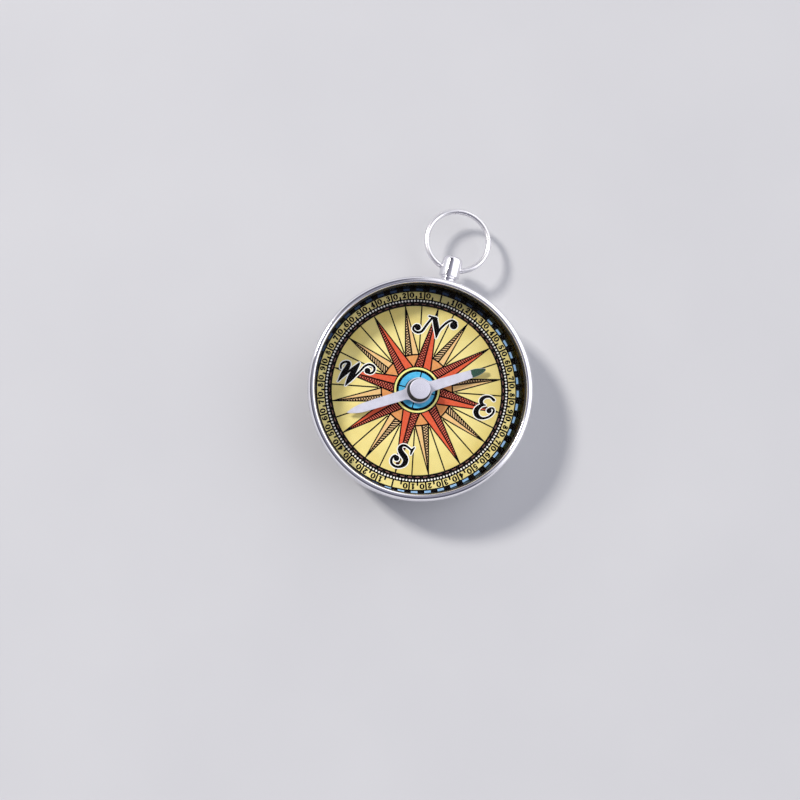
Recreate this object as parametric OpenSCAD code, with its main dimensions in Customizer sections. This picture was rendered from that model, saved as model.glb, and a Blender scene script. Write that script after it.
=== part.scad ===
// Pocket compass, open faced: a round metal case with a glazed front, a printed compass
// card, a magnetised needle on a point, and a wire bow ring through a pendant.
// The back of the case lies on z = 0 and the needle turns about the z axis.

/* [Case] */
// Outside diameter of the bezel
bezel_d = 45; // [38:0.5:60]
// Thickness of the whole case, from its back to the top of the bezel
case_h = 11; // [10.3:0.1:15]
// Width of the bezel's rounded lip, as seen from the front
lip_w = 1.22; // [0.9:0.02:1.35]
// Depth of the lip above the gasket
lip_t = 0.8; // [0.7:0.05:1.2]
// Height of the bezel ring
bezel_h = 3.5; // [2.9:0.1:4.2]
// Wall of the bezel's skirt
bezel_wall = 0.5; // [0.4:0.05:0.7]
// Wall of the cup where the bezel grips it
cup_wall = 0.45; // [0.35:0.05:0.8]
// Step in radius from the bezel's outside in to the cup's side
side_step = 0.4; // [0.1:0.05:0.45]
// Radius of the round corner between the cup's side and its back
cup_corner_r = 5; // [2:0.25:8]
// Thickness of the cup's floor
floor_t = 0.8; // [0.5:0.05:1.2]
// Width of the ledge that the dial plate lies on
ledge_w = 1.5; // [0.8:0.1:3]

/* [Glass] */
// Thickness of the crystal
crystal_t = 1.2; // [0.8:0.1:1.6]
// Thickness of the gasket between the crystal and the lip
gasket_t = 0.3; // [0.2:0.05:0.5]
// How far the gasket shows inside the lip
gasket_show = 0.22; // [0.05:0.01:0.4]
// Height of the air space between the dial and the crystal
chamber_h = 4.2; // [4.1:0.05:4.8]
// Wall of the polished ring that lines the air space
lining_t = 0.3; // [0.2:0.05:0.6]

/* [Dial] */
// Thickness of the printed card
card_t = 0.2; // [0.1:0.05:0.4]
// Thickness of the plate under the card
plate_t = 0.8; // [0.5:0.1:1.2]
// Width of the dark band at the dial's rim
rim_band_w = 0.95; // [0.6:0.05:1.5]
// Width of the dark band of dots
band_w = 1.3; // [0.8:0.05:1.5]
// Width of the light band that holds the degree numbers
degree_w = 1.55; // [0.9:0.05:1.9]
// Width of the line at every ten degrees
degree_line_w = 0.26; // [0.1:0.02:0.5]
// Radius of the sun disc behind the star
sun_r = 7.3; // [6:0.1:9]
// Radius of the round medallion at the middle of the star
medal_r = 4.55; // [4:0.05:5.5]
// Half width of a large star point at the medallion
large_half_w = 1.62; // [1:0.02:1.7]
// Half width of a small star point at the sun disc
small_half_w = 1.35; // [0.8:0.05:1.5]
// Radius of the blue disc in the medallion
blue_r = 3.9; // [3.2:0.05:4.3]

/* [Needle] */
// Length of the north arm, from the pivot to its tip
north_l = 14.4; // [11:0.1:16]
// Length of the south arm, from the pivot to its tip
south_l = 15.2; // [11:0.1:17]
// Half width of both arms at the pivot
arm_root_w = 1.05; // [0.8:0.05:1.3]
// Half width of the north arm where its round tip begins
north_w = 0.83; // [0.6:0.02:1]
// Half width of the south arm where its point begins
south_w = 0.93; // [0.6:0.02:1]
// Length of the round north tip, which is the painted part
north_tip_l = 2.95; // [2:0.05:4]
// Length of the south point
south_tip_l = 4.3; // [3:0.1:6]
// Thickness of the blade
blade_t = 0.25; // [0.15:0.05:0.4]
// Radius of the blade's round eye
eye_r = 2.65; // [2.5:0.05:3]
// Radius of the cap's head at the blade
cap_r = 2.4; // [2.1:0.05:2.5]
// Radius of the cap's flat top
cap_top_r = 2.08; // [1.7:0.02:2.2]
// Height of the cap's head above the blade
cap_h = 2.7; // [2.2:0.05:2.8]
// Angle of the needle at rest, counter-clockwise from the x axis
needle_angle = 32.5; // [0:0.5:359]

/* [Pivot] */
// Radius of the post's round foot on the card
post_foot_r = 2; // [1.5:0.1:2.2]
// Thickness of the post's foot
post_foot_t = 0.3; // [0.2:0.05:0.4]
// Radius of the post's shank
post_shank_r = 1.1; // [0.8:0.05:1.3]
// Radius of the hardened pivot pin
pin_r = 0.35; // [0.25:0.05:0.45]
// Radius of the jewel
jewel_r = 0.8; // [0.65:0.05:0.9]
// Width of the nut across its flats
nut_flats = 4; // [3.2:0.1:5]

/* [Pendant and bow] */
// Radius of the pendant's body
pendant_r = 2.1; // [1.8:0.05:2.5]
// Radius of the pendant's neck
neck_r = 1.6; // [1.3:0.05:1.75]
// Length of the neck that shows beyond the bezel
neck_l = 1.55; // [1:0.05:3]
// Length of the pendant's body
pendant_l = 4.3; // [3.7:0.1:5.5]
// Radius of the pendant's rounded end
pendant_round_r = 1; // [0.4:0.05:1.2]
// Radius of the cross hole that the bow ring passes through
bow_hole_r = 0.74; // [0.72:0.01:0.9]
// Distance of the cross hole from the foot of the pendant's body
bow_hole_up = 1.75; // [1.1:0.05:2]
// Radius of the bow ring at the middle of its wire
bow_r = 6.45; // [5.5:0.05:9]
// Diameter of the bow ring's wire
wire_d = 0.95; // [0.8:0.05:1]
// Angle by which the bow ring droops below the dial's plane at rest
bow_droop = 6; // [0:0.5:20]

/* [Hidden] */
// Clearance between pieces that slide together when the compass is put together
fit = 0.05;
// Overrun of a cut past the face that it opens
over = 0.5;
// Thickness of a film of ink or paint
ink_t = 0.03;
paint_t = 0.05;
// Small chamfers and rounds on edges
edge = 0.12;
skirt_round = 0.2;
// Gap between the bezel's lower edge and the pendant's neck
neck_gap = 0.2;
// Length of the five-degree ticks, as a share of the degree band's width
tick_share = 0.4;
// Running height of the needle's collar over the post's foot, and the collar's own size
collar_gap = 0.4;
collar_t = 0.25;
collar_w = 0.6;
// Wall of the cap round its bore, and what is left above the jewel
cap_wall = 0.35;
cap_top_t = 0.4;
jewel_h = 1.1;
// The jewel's cup: radius of its mouth and depth
cup_mouth_r = 0.55;
cup_depth = 0.7;
// Space between the pin's point and the bottom of the jewel's cup
point_gap = 0.05;
point_r = 0.03;
point_l = 1;
// Wall and height of the post's boss round the pin
boss_wall = 0.4;
boss_h = 0.3;
// Shares of the well's depth that the washer, the nut and the end of the shank fill
washer_share = 0.08;
nut_share = 0.3;
shank_end_share = 0.1;
// Width of the washer
washer_w = 1.2;
// Least wall that the round corner leaves outside the dial plate
corner_wall = 0.3;
// Slit between the bow ring's two wire ends, which meet inside the cross hole
bow_gap_angle = 1;
// Radius of the pendant's tail in the cup's side
tail_r = 1;

bezel_r = bezel_d / 2;
lip_in_r = bezel_r - lip_w;
lip_round_r = lip_w / 2;
skirt_in_r = bezel_r - bezel_wall;
cup_top_r = skirt_in_r - fit;
cup_bore_r = cup_top_r - cup_wall;
cup_side_r = bezel_r - side_step;
cavity_r = cup_bore_r - ledge_w;
lining_out_r = cup_bore_r - fit;
lining_in_r = lining_out_r - lining_t;
crystal_r = skirt_in_r - fit;
dial_r = cup_bore_r - fit;

lip_z = case_h - lip_t;
gasket_z = lip_z - gasket_t;
crystal_z = gasket_z - crystal_t;
dial_z = crystal_z - chamber_h;
plate_z = dial_z - card_t;
ledge_z = plate_z - plate_t;
bezel_z = case_h - bezel_h;
well_h = ledge_z - floor_t;
washer_t = well_h * washer_share;
nut_t = well_h * nut_share;
shank_end_l = well_h * shank_end_share;

// The round corner stops growing where it would thin the wall beside the ledge.
corner_drop = cup_side_r - cup_bore_r - corner_wall;
corner_r = min(cup_corner_r, ledge_z + corner_drop + sqrt(2 * ledge_z * corner_drop));
cavity_corner_r = corner_r - ledge_w;

foot_z = dial_z + post_foot_t;
collar_z = foot_z + collar_gap;
blade_z = collar_z + collar_t;
cap_z = blade_z + blade_t;
cap_top_z = cap_z + cap_h;
jewel_z = cap_top_z - cap_top_t - jewel_h;
point_z = jewel_z + cup_depth - point_gap;
shank_r = jewel_r + cap_wall + fit;
cap_bore_r = jewel_r + fit;

rim_band_r = lining_in_r - rim_band_w;
degree_r = rim_band_r - degree_w;
band_r = degree_r - band_w;
star_tip_r = band_r;

pendant_z = bezel_z - neck_gap - neck_r;
body_y = bezel_r + neck_l;
hole_y = body_y + bow_hole_up;
pendant_top_y = body_y + pendant_l;
// The wire bows across the hole, so its middle sits half that rise inside the hole's axis.
bow_sag = pendant_r * pendant_r / (2 * bow_r);
bow_centre = bow_r - bow_sag / 2;

round_fn = 96;

// A flat ring between two radii and two heights.
module ring(out_r, in_r, z0, z1) {
    translate([0, 0, z0])
        difference() {
            cylinder(r = out_r, h = z1 - z0, $fn = round_fn);
            translate([0, 0, -over])
                cylinder(r = in_r, h = z1 - z0 + 2 * over, $fn = round_fn);
        }
}

// Half section of a disc of radius r, with a round corner at its foot.
module round_foot_section(r, z0, z1, corner) {
    translate([0, z0])
        intersection() {
            square([r, z1 - z0]);
            union() {
                square([r - corner, z1 - z0]);
                translate([0, corner])
                    square([r, z1 - z0]);
                translate([r - corner, corner])
                    circle(r = corner, $fn = round_fn);
            }
        }
}

// The cup's outside below the bezel, which the pendant's neck is also cut to.
module cup_outside() {
    rotate_extrude($fn = round_fn)
        round_foot_section(cup_side_r, 0, bezel_z, corner_r);
}

// Turned metal cup: floor, round corner, side, ledge for the dial plate, grip for the bezel.
module case_cup() {
    color("silver")
        difference() {
            union() {
                cup_outside();
                translate([0, 0, bezel_z - over])
                    cylinder(r = cup_top_r, h = crystal_z - bezel_z + over, $fn = round_fn);
            }
            translate([0, 0, ledge_z])
                cylinder(r = cup_bore_r, h = crystal_z - ledge_z + over, $fn = round_fn);
            rotate_extrude($fn = round_fn)
                round_foot_section(cavity_r, floor_t, ledge_z + over, cavity_corner_r);
            translate([0, cup_bore_r - over, pendant_z])
                rotate([-90, 0, 0])
                    cylinder(r = tail_r + fit, h = cup_side_r - cup_bore_r + 2 * over, $fn = round_fn);
        }
}

// Polished bezel: a skirt that grips the cup, under a half-round lip that holds the crystal.
module bezel() {
    color("white")
        rotate_extrude($fn = round_fn) {
            intersection() {
                translate([bezel_r - lip_round_r, case_h - lip_round_r])
                    circle(r = lip_round_r, $fn = round_fn);
                translate([lip_in_r, case_h - lip_round_r])
                    square([lip_w, lip_round_r]);
            }
            translate([lip_in_r, lip_z])
                square([lip_w, lip_t - lip_round_r]);
            translate([skirt_in_r, bezel_z + skirt_round])
                square([bezel_wall, lip_z - bezel_z - skirt_round]);
            translate([skirt_in_r, bezel_z])
                square([bezel_wall - skirt_round, skirt_round]);
            intersection() {
                translate([bezel_r - skirt_round, bezel_z + skirt_round])
                    circle(r = skirt_round, $fn = round_fn);
                translate([skirt_in_r, bezel_z])
                    square([bezel_wall, bezel_h]);
            }
        }
}

// Flat crystal with its two edges eased.
module crystal() {
    color("lightblue", 0.3)
        rotate_extrude($fn = round_fn)
            translate([0, crystal_z])
                polygon([
                    [0, 0],
                    [crystal_r - edge, 0],
                    [crystal_r, edge],
                    [crystal_r, crystal_t - edge],
                    [crystal_r - edge, crystal_t],
                    [0, crystal_t]
                ]);
}

// Black ring between the crystal and the bezel's lip.
module crystal_gasket() {
    color("black")
        ring(crystal_r, lip_in_r - gasket_show, gasket_z, lip_z);
}

// Polished ring that lines the air space and holds the card down.
module lining_ring() {
    color("gray")
        ring(lining_out_r, lining_in_r, dial_z, crystal_z);
}

// Metal plate that carries the card and the post.
module dial_plate() {
    color("silver")
        ring(dial_r, post_shank_r + fit, ledge_z, plate_z);
}

// Printed card.
module dial_card() {
    color("khaki")
        ring(dial_r, post_shank_r + fit, plate_z, dial_z);
}

// Film of ink on the card, from a flat outline.
module ink() {
    translate([0, 0, dial_z])
        linear_extrude(height = ink_t)
            children();
}

// Flat ring outline.
module ring_outline(out_r, in_r) {
    difference() {
        circle(r = out_r, $fn = round_fn);
        circle(r = in_r, $fn = round_fn);
    }
}

// Dark bands, with a line at every ten degrees and a tick at every fifth.
module scale_ink() {
    tick_l = degree_w * tick_share;
    color("black")
        ink() {
            ring_outline(degree_r, band_r);
            ring_outline(lining_in_r - fit, rim_band_r);
            for (a = [0:10:350])
                rotate(a)
                    translate([degree_r - fit, -degree_line_w / 2])
                        square([degree_w + 2 * fit, degree_line_w]);
            for (a = [5:10:355])
                rotate(a)
                    translate([degree_r - fit, -degree_line_w / 2])
                        square([tick_l + fit, degree_line_w]);
        }
}

// One star point, which tapers from its root to its tip.
module star_point(root_r, half_w) {
    polygon([[root_r, -half_w], [star_tip_r - fit, 0], [root_r, half_w]]);
}

// Outline of the eight large points, the medallion left open.
module large_points() {
    difference() {
        for (a = [0:45:315])
            rotate(a)
                star_point(0, large_half_w * star_tip_r / (star_tip_r - medal_r));
        circle(r = medal_r, $fn = round_fn);
    }
}

// Eight large points of the star.
module star_ink_red() {
    color("tomato")
        ink()
            large_points();
}

// Sun disc and the eight small points between the large ones.
module star_ink_orange() {
    color("sandybrown")
        ink()
            difference() {
                union() {
                    circle(r = sun_r, $fn = round_fn);
                    for (a = [22.5:45:337.5])
                        rotate(a)
                            star_point(sun_r * cos(10), small_half_w);
                }
                large_points();
                circle(r = medal_r, $fn = round_fn);
            }
}

// Blue disc of the medallion, open at the post's foot.
module medal_ink_blue() {
    color("deepskyblue")
        ink()
            ring_outline(blue_r, post_foot_r + fit);
}

// Turned post: a foot on the card, a boss round the pin, and a threaded shank for the nut.
module pivot_post() {
    shank_z = ledge_z - washer_t - nut_t - shank_end_l;
    boss_r = pin_r + boss_wall;
    color("goldenrod")
        difference() {
            rotate_extrude($fn = round_fn)
                polygon([
                    [0, shank_z],
                    [post_shank_r, shank_z],
                    [post_shank_r, dial_z],
                    [post_foot_r, dial_z],
                    [post_foot_r, foot_z],
                    [boss_r, foot_z],
                    [boss_r, foot_z + boss_h],
                    [0, foot_z + boss_h]
                ]);
            translate([0, 0, plate_z])
                cylinder(r = pin_r, h = case_h, $fn = round_fn);
        }
}

// Plain washer under the plate.
module post_washer() {
    color("silver")
        ring(post_shank_r + washer_w, post_shank_r + fit, ledge_z - washer_t, ledge_z);
}

// Hexagon nut that draws the post down on the card and plate.
module post_nut() {
    nut_z = ledge_z - washer_t - nut_t;
    color("goldenrod")
        translate([0, 0, nut_z])
            difference() {
                cylinder(r = nut_flats / 2 / cos(30), h = nut_t, $fn = 6);
                translate([0, 0, -over])
                    cylinder(r = post_shank_r + fit, h = nut_t + 2 * over, $fn = round_fn);
            }
}

// Hardened steel pin with a fine point, pressed into the post.
module pivot_pin() {
    color("dimgray")
        rotate_extrude($fn = round_fn)
            polygon([
                [0, plate_z],
                [pin_r, plate_z],
                [pin_r, point_z - point_l],
                [point_r, point_z],
                [0, point_z]
            ]);
}

// Pendant: a tail through the cup's side, a neck shaped to it, and a body with a cross hole.
module pendant() {
    color("white")
        difference() {
            translate([0, 0, pendant_z])
                rotate([-90, 0, 0])
                    union() {
                        difference() {
                            translate([0, 0, cup_side_r - cup_wall])
                                cylinder(r = neck_r, h = body_y - cup_side_r + cup_wall + fit, $fn = round_fn);
                            rotate([90, 0, 0])
                                translate([0, 0, -pendant_z])
                                    cup_outside();
                        }
                        translate([0, 0, cup_bore_r + fit])
                            cylinder(r = tail_r, h = body_y - cup_bore_r - fit, $fn = round_fn);
                        translate([0, 0, pendant_top_y])
                            mirror([0, 0, 1])
                                rotate_extrude($fn = round_fn)
                                    round_foot_section(pendant_r, 0, pendant_l, pendant_round_r);
                    }
            translate([-bow_r, hole_y, pendant_z])
                rotate([0, 90, 0])
                    cylinder(r = bow_hole_r, h = 2 * bow_r, $fn = round_fn);
        }
}

// Bow ring of round wire, closed inside the cross hole.
module bow_ring() {
    color("lightgray")
        translate([0, hole_y, pendant_z])
            rotate([-bow_droop, 0, 0])
                translate([0, bow_centre, 0])
                    rotate([0, 0, -90 + bow_gap_angle / 2])
                        rotate_extrude(angle = 360 - bow_gap_angle, $fn = round_fn)
                            translate([bow_r, 0])
                                circle(r = wire_d / 2, $fn = round_fn);
}

// Pointed arch of two arcs, from half width half_w at x = 0 to its tip at x = length.
module arch(length, half_w) {
    arc_r = (length * length + half_w * half_w) / (2 * half_w);
    intersection() {
        translate([0, half_w - arc_r])
            circle(r = arc_r, $fn = round_fn);
        translate([0, arc_r - half_w])
            circle(r = arc_r, $fn = round_fn);
        translate([0, -half_w])
            square([length, 2 * half_w]);
    }
}

// Outline of the needle's round north tip.
module north_tip() {
    translate([north_l - north_tip_l, 0])
        arch(north_tip_l, north_w);
}

// Magnetised steel blade: a round eye, a blunt north arm and a pointed south arm.
module needle_blade() {
    north_arm = north_l - north_tip_l;
    south_arm = south_l - south_tip_l;
    color("ghostwhite")
        rotate(needle_angle)
            translate([0, 0, blade_z])
                difference() {
                    linear_extrude(height = blade_t) {
                        circle(r = eye_r, $fn = round_fn);
                        polygon([
                            [0, -arm_root_w],
                            [north_arm, -north_w],
                            [north_arm, north_w],
                            [0, arm_root_w],
                            [-south_arm, south_w],
                            [-south_arm, -south_w]
                        ]);
                        north_tip();
                        translate([-south_arm, 0])
                            mirror([1, 0])
                                arch(south_tip_l, south_w);
                    }
                    translate([0, 0, -over])
                        cylinder(r = shank_r + fit, h = blade_t + 2 * over, $fn = round_fn);
                }
}

// Film of green paint on the north tip.
module north_tip_paint() {
    color("seagreen")
        rotate(needle_angle)
            translate([0, 0, cap_z])
                linear_extrude(height = paint_t)
                    north_tip();
}

// Turned cap: a head on the blade, a shank through its eye, and a pocket for the jewel.
module needle_cap() {
    color("whitesmoke")
        difference() {
            rotate_extrude($fn = round_fn)
                polygon([
                    [0, collar_z],
                    [shank_r, collar_z],
                    [shank_r, cap_z],
                    [cap_r, cap_z],
                    [cap_top_r, cap_top_z - edge],
                    [cap_top_r - edge, cap_top_z],
                    [0, cap_top_z]
                ]);
            translate([0, 0, collar_z - over])
                cylinder(r = cap_bore_r, h = jewel_z - collar_z + over, $fn = round_fn);
            translate([0, 0, jewel_z - over])
                cylinder(r = jewel_r, h = jewel_h + over, $fn = round_fn);
        }
}

// Collar pressed on the cap's shank, which holds the blade against the head.
module cap_collar() {
    color("gainsboro")
        ring(shank_r + collar_w, shank_r, collar_z, blade_z);
}

// Glass bearing with a cone-shaped cup that rides on the pin's point.
module jewel_cup() {
    color("crimson")
        rotate_extrude($fn = round_fn)
            polygon([
                [0, jewel_z + cup_depth],
                [cup_mouth_r, jewel_z],
                [jewel_r, jewel_z],
                [jewel_r, jewel_z + jewel_h],
                [0, jewel_z + jewel_h]
            ]);
}

case_cup();
bezel();
crystal();
crystal_gasket();
lining_ring();
dial_plate();
dial_card();
scale_ink();
star_ink_red();
star_ink_orange();
medal_ink_blue();
pivot_post();
post_washer();
post_nut();
pivot_pin();
pendant();
bow_ring();
needle_blade();
needle_cap();
cap_collar();
jewel_cup();
north_tip_paint();
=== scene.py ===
# %% [markdown]
# A pocket compass, dressed around its CAD frame. The frame holds every piece at its real size
# and says how the needle and the bow ring move. This lesson makes the pieces that show again,
# with rounder meshes, a printed dial and real finishes, and leaves the sizes to the frame.

# %% Load the frame
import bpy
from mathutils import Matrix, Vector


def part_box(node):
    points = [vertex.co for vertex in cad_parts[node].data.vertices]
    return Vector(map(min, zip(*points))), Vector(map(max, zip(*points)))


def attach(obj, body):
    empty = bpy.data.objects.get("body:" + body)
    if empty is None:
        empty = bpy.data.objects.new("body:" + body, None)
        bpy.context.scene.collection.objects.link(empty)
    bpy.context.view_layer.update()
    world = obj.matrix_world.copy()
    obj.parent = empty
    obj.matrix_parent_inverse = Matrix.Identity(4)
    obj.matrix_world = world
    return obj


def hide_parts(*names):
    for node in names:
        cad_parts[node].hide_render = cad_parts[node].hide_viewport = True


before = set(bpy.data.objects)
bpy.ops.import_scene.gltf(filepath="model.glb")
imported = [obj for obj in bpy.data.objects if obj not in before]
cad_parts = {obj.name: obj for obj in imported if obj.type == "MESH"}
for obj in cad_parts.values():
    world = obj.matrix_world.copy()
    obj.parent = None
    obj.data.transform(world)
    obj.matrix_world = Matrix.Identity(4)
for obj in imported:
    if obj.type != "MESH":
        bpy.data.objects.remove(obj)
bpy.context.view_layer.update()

# %% [markdown]
# Blender's unit is the metre, and a compass is easier to think of in millimetres. Every mesh
# here is drawn in millimetres and made small once, when it becomes an object. The heights and
# radii that other pieces share are read from the frame, so nothing has to be fitted by eye.

# %% Sizes that the frame gives, in millimetres
import math

import bmesh
import bpy
from mathutils import Matrix, Vector

MM = 0.001


def low(node):
    """Lowest corner of a CAD node, in millimetres."""
    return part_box(node)[0] / MM


def high(node):
    """Highest corner of a CAD node, in millimetres."""
    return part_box(node)[1] / MM


bezel_r = high("bezel").x
case_top = high("bezel").z
bezel_z = low("bezel").z
glass_z = low("crystal").z
glass_top = high("crystal").z
dial_z = high("dial_card").z
wall_out_r = high("lining_ring").x
pendant_z = (low("pendant").z + high("pendant").z) / 2
print(f"bezel radius {bezel_r:.2f}, case {case_top:.2f} high, dial at {dial_z:.2f}, glass at {glass_z:.2f}")

# %% [markdown]
# The photograph looks down on the dial from about a quarter of a metre. The camera stands a
# little to the south-west and leans back to the dial, and its picture is turned so that north
# points to the right of straight up. Its angle, like the needle's, is counted from east towards
# north. A constraint could aim the camera, but would leave its turn about the line of sight open.
# A matrix with the camera's own three axes says all of it at once.

# %% Place the camera
scene = bpy.context.scene
CAMERA_DISTANCE = 250
CAMERA_TILT = math.radians(8.9)
CAMERA_ANGLE = math.radians(241.7)
PICTURE_TURN = math.radians(14.75)
AIM = Vector((-3.5, -3.57, case_top))
FOCAL_LENGTH = 56.9
SENSOR_W = 36
NEAREST_SEEN = 0.01

camera_data = bpy.data.cameras.new("camera")
camera_data.lens = FOCAL_LENGTH
camera_data.sensor_width = SENSOR_W
camera_data.clip_start = NEAREST_SEEN
camera = bpy.data.objects.new("camera", camera_data)
scene.collection.objects.link(camera)
scene.camera = camera
side = math.sin(CAMERA_TILT)
towards = Vector((side * math.cos(CAMERA_ANGLE), side * math.sin(CAMERA_ANGLE), math.cos(CAMERA_TILT)))
place = Vector((0, 0, case_top)) + towards * CAMERA_DISTANCE
back = (place - AIM).normalized()
up = Vector((-math.sin(PICTURE_TURN), math.cos(PICTURE_TURN), 0))
right = up.cross(back).normalized()
up = back.cross(right)
turn = Matrix((right, up, back)).transposed().to_4x4()
camera.matrix_world = Matrix.Translation(place * MM) @ turn
print("the camera stands at", [round(value, 1) for value in place])

# %% [markdown]
# A turned part, such as a bezel, is round because it was cut on a lathe. The same idea makes its
# mesh: half of its cross-section is drawn as a thin outline, the corners that the tool rounded
# are bevelled, and the outline is spun once round the axis. Where an outline touches the axis,
# merging the doubled points closes the pole. A Screw modifier could turn the outline too, but
# the spin operator leaves a plain mesh, whose open edges can be counted straight away.

# %% Helpers for turned pieces
TURN_STEPS = 192
SMALL_TURN_STEPS = 96
ROUND_STEPS = 8
WELD = 1e-5
SHARP = math.radians(32)


def outline(bm, points, rounds, closed):
    """Draws an outline of (radius, height) points and rounds the corners that rounds names."""
    corners = [bm.verts.new((radius, 0, height)) for radius, height in points]
    ends = corners[1:] + corners[:1] if closed else corners[1:]
    for first, second in zip(corners, ends):
        bm.edges.new((first, second))
    for corner, size in rounds.items():
        bmesh.ops.bevel(bm, geom=[corners[corner]], offset=size, offset_type="OFFSET",
                        segments=ROUND_STEPS, profile=0.5, affect="VERTICES", material=-1)


def turned(points, rounds=None, closed=True, steps=TURN_STEPS):
    """Spins an outline once round the z axis and returns the closed mesh."""
    bm = bmesh.new()
    outline(bm, points, rounds or {}, closed)
    bmesh.ops.spin(bm, geom=bm.verts[:] + bm.edges[:], cent=(0, 0, 0), axis=(0, 0, 1),
                   angle=math.tau, steps=steps, use_merge=True)
    bmesh.ops.remove_doubles(bm, verts=bm.verts, dist=WELD)
    bmesh.ops.recalc_face_normals(bm, faces=bm.faces)
    return bm


def edge_uses(mesh):
    """How many faces meet at each edge, which is two everywhere on a closed mesh."""
    uses = [0] * len(mesh.edges)
    for loop in mesh.loops:
        uses[loop.edge_index] += 1
    return uses


def make_piece(name, bm, finish, body, stands_for=()):
    """Turns a mesh drawn in millimetres into an object that rides on a body of the frame."""
    bmesh.ops.scale(bm, vec=(MM, MM, MM), verts=bm.verts)
    for face in bm.faces:
        face.smooth = True
    for edge in bm.edges:
        edge.smooth = edge.is_manifold and edge.calc_face_angle(0) < SHARP
    mesh = bpy.data.meshes.new(name)
    bm.to_mesh(mesh)
    bm.free()
    mesh.materials.append(finish)
    piece = bpy.data.objects.new(name, mesh)
    scene.collection.objects.link(piece)
    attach(piece, body)
    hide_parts(*stands_for)
    open_edges = sum(1 for count in edge_uses(mesh) if count != 2)
    print(f"{name}: {len(mesh.polygons)} faces, {open_edges} open edges")
    return piece


def keep_flats(piece):
    """Lets the large faces set the shading, so that a flat beside a rounded edge looks flat."""
    normals = piece.modifiers.new("flats", "WEIGHTED_NORMAL")
    normals.keep_sharp = True
    return piece


print("large pieces are turned in", TURN_STEPS, "steps, small ones in", SMALL_TURN_STEPS)

# %% [markdown]
# Colours are easiest to pick as sRGB hex values, as in any paint program, but the renderer
# counts in linear light, so one function turns them. A second one adds a shader node with its
# settings and its links in a single line, which keeps each material short enough to read. Noise
# is asked for by the real size of its lumps, because a bare scale says nothing about the piece.

# %% Helpers for materials
NOISE_LOW = 0.3
NOISE_HIGH = 0.7


def linear(hex_colour):
    """The linear RGBA of an sRGB hex colour."""
    channels = [int(hex_colour[i:i + 2], 16) / 255 for i in (1, 3, 5)]
    return [c / 12.92 if c <= 0.04045 else ((c + 0.055) / 1.055) ** 2.4 for c in channels] + [1]


def add(tree, kind, values=None, links=None, **settings):
    """Adds a shader node, sets its sockets and settings, and links outputs to its inputs."""
    made = tree.nodes.new("ShaderNode" + kind)
    for name, value in settings.items():
        setattr(made, name, value)
    for socket, value in (values or {}).items():
        made.inputs[socket].default_value = value
    for socket, output in (links or {}).items():
        tree.links.new(output, made.inputs[socket])
    return made


def blank(name):
    """A new material with only its output and a Principled shader."""
    material = bpy.data.materials.new(name)
    material.use_nodes = True
    return material, material.node_tree, material.node_tree.nodes["Principled BSDF"]


def grain(tree, size, detail=3):
    """Noise whose lumps are about size millimetres across, on the piece's own coordinates."""
    place = add(tree, "TexCoord").outputs["Object"]
    values = {"Scale": 1 / (size * MM), "Detail": detail}
    return add(tree, "TexNoise", values, {"Vector": place}).outputs["Fac"]


def between(tree, noise, least, most):
    """Spreads the middle of a noise, where nearly all of it lies, from least to most."""
    span = {"From Min": NOISE_LOW, "From Max": NOISE_HIGH, "To Min": least, "To Max": most}
    return add(tree, "MapRange", span, {"Value": noise}).outputs["Result"]


def blend_colours(tree, value, first, second):
    """Two colours, mixed by a value from 0 to 1."""
    ramp = add(tree, "ValToRGB", None, {"Fac": value})
    ramp.color_ramp.elements[0].color = linear(first)
    ramp.color_ramp.elements[1].color = linear(second)
    return ramp.outputs["Color"]


def relief(tree, shader, height, depth):
    """Bump of a real depth in millimetres, from a height between 0 and 1."""
    bump = add(tree, "Bump", {"Strength": 1, "Distance": depth * MM}, {"Height": height})
    tree.links.new(bump.outputs["Normal"], shader.inputs["Normal"])


print("half grey, #808080, is", round(linear("#808080")[0], 3), "in linear light")

# %% [markdown]
# Nickel plate over steel, polished on a mop, is what pocket cases of this kind wear. To the eye
# it is a mirror with a faint warmth, broken by hair-fine polishing marks that run round the
# piece and by a few soft smears where fingers have held it. An anisotropic shader could stretch
# the highlights, but it shows no marks. Here they come from noise on the radius and height alone,
# which is the same all the way round, so they follow the turning. Real marks are a hundredth of a
# millimetre apart, too fine for this picture, so they are drawn ten times as coarse and coarser
# still on the wire. The wall round the dial gets a dark olive tint, so it mirrors less even at a
# glance.

# %% Polished nickel
SMEAR_SIZE = 3.5
MARK_PITCH = 0.12
WIRE_MARK_PITCH = 0.6
MARK_DEPTH = 0.0003


def turning_marks(tree, pitch):
    """Noise that changes with radius and height only, as marks left by a lathe or a mop do."""
    place = add(tree, "TexCoord").outputs["Object"]
    parts = add(tree, "SeparateXYZ", None, {"Vector": place}).outputs
    flat = add(tree, "CombineXYZ", None, {"X": parts["X"], "Y": parts["Y"]}).outputs[0]
    radius = add(tree, "VectorMath", None, {0: flat}, operation="LENGTH").outputs["Value"]
    profile = add(tree, "CombineXYZ", None, {"X": radius, "Z": parts["Z"]}).outputs[0]
    values = {"Scale": 1 / (pitch * MM), "Detail": 2}
    return add(tree, "TexNoise", values, {"Vector": profile}).outputs["Fac"]


def polished_nickel(name, pale, deep, least_rough, most_rough, pitch=MARK_PITCH):
    """Mirror-polished nickel plate with fine turning marks and soft smears."""
    material, tree, shader = blank(name)
    smears = grain(tree, SMEAR_SIZE)
    tree.links.new(blend_colours(tree, smears, pale, deep), shader.inputs["Base Color"])
    tree.links.new(between(tree, smears, least_rough, most_rough), shader.inputs["Roughness"])
    shader.inputs["Metallic"].default_value = 1
    relief(tree, shader, turning_marks(tree, pitch), MARK_DEPTH)
    return material


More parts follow.
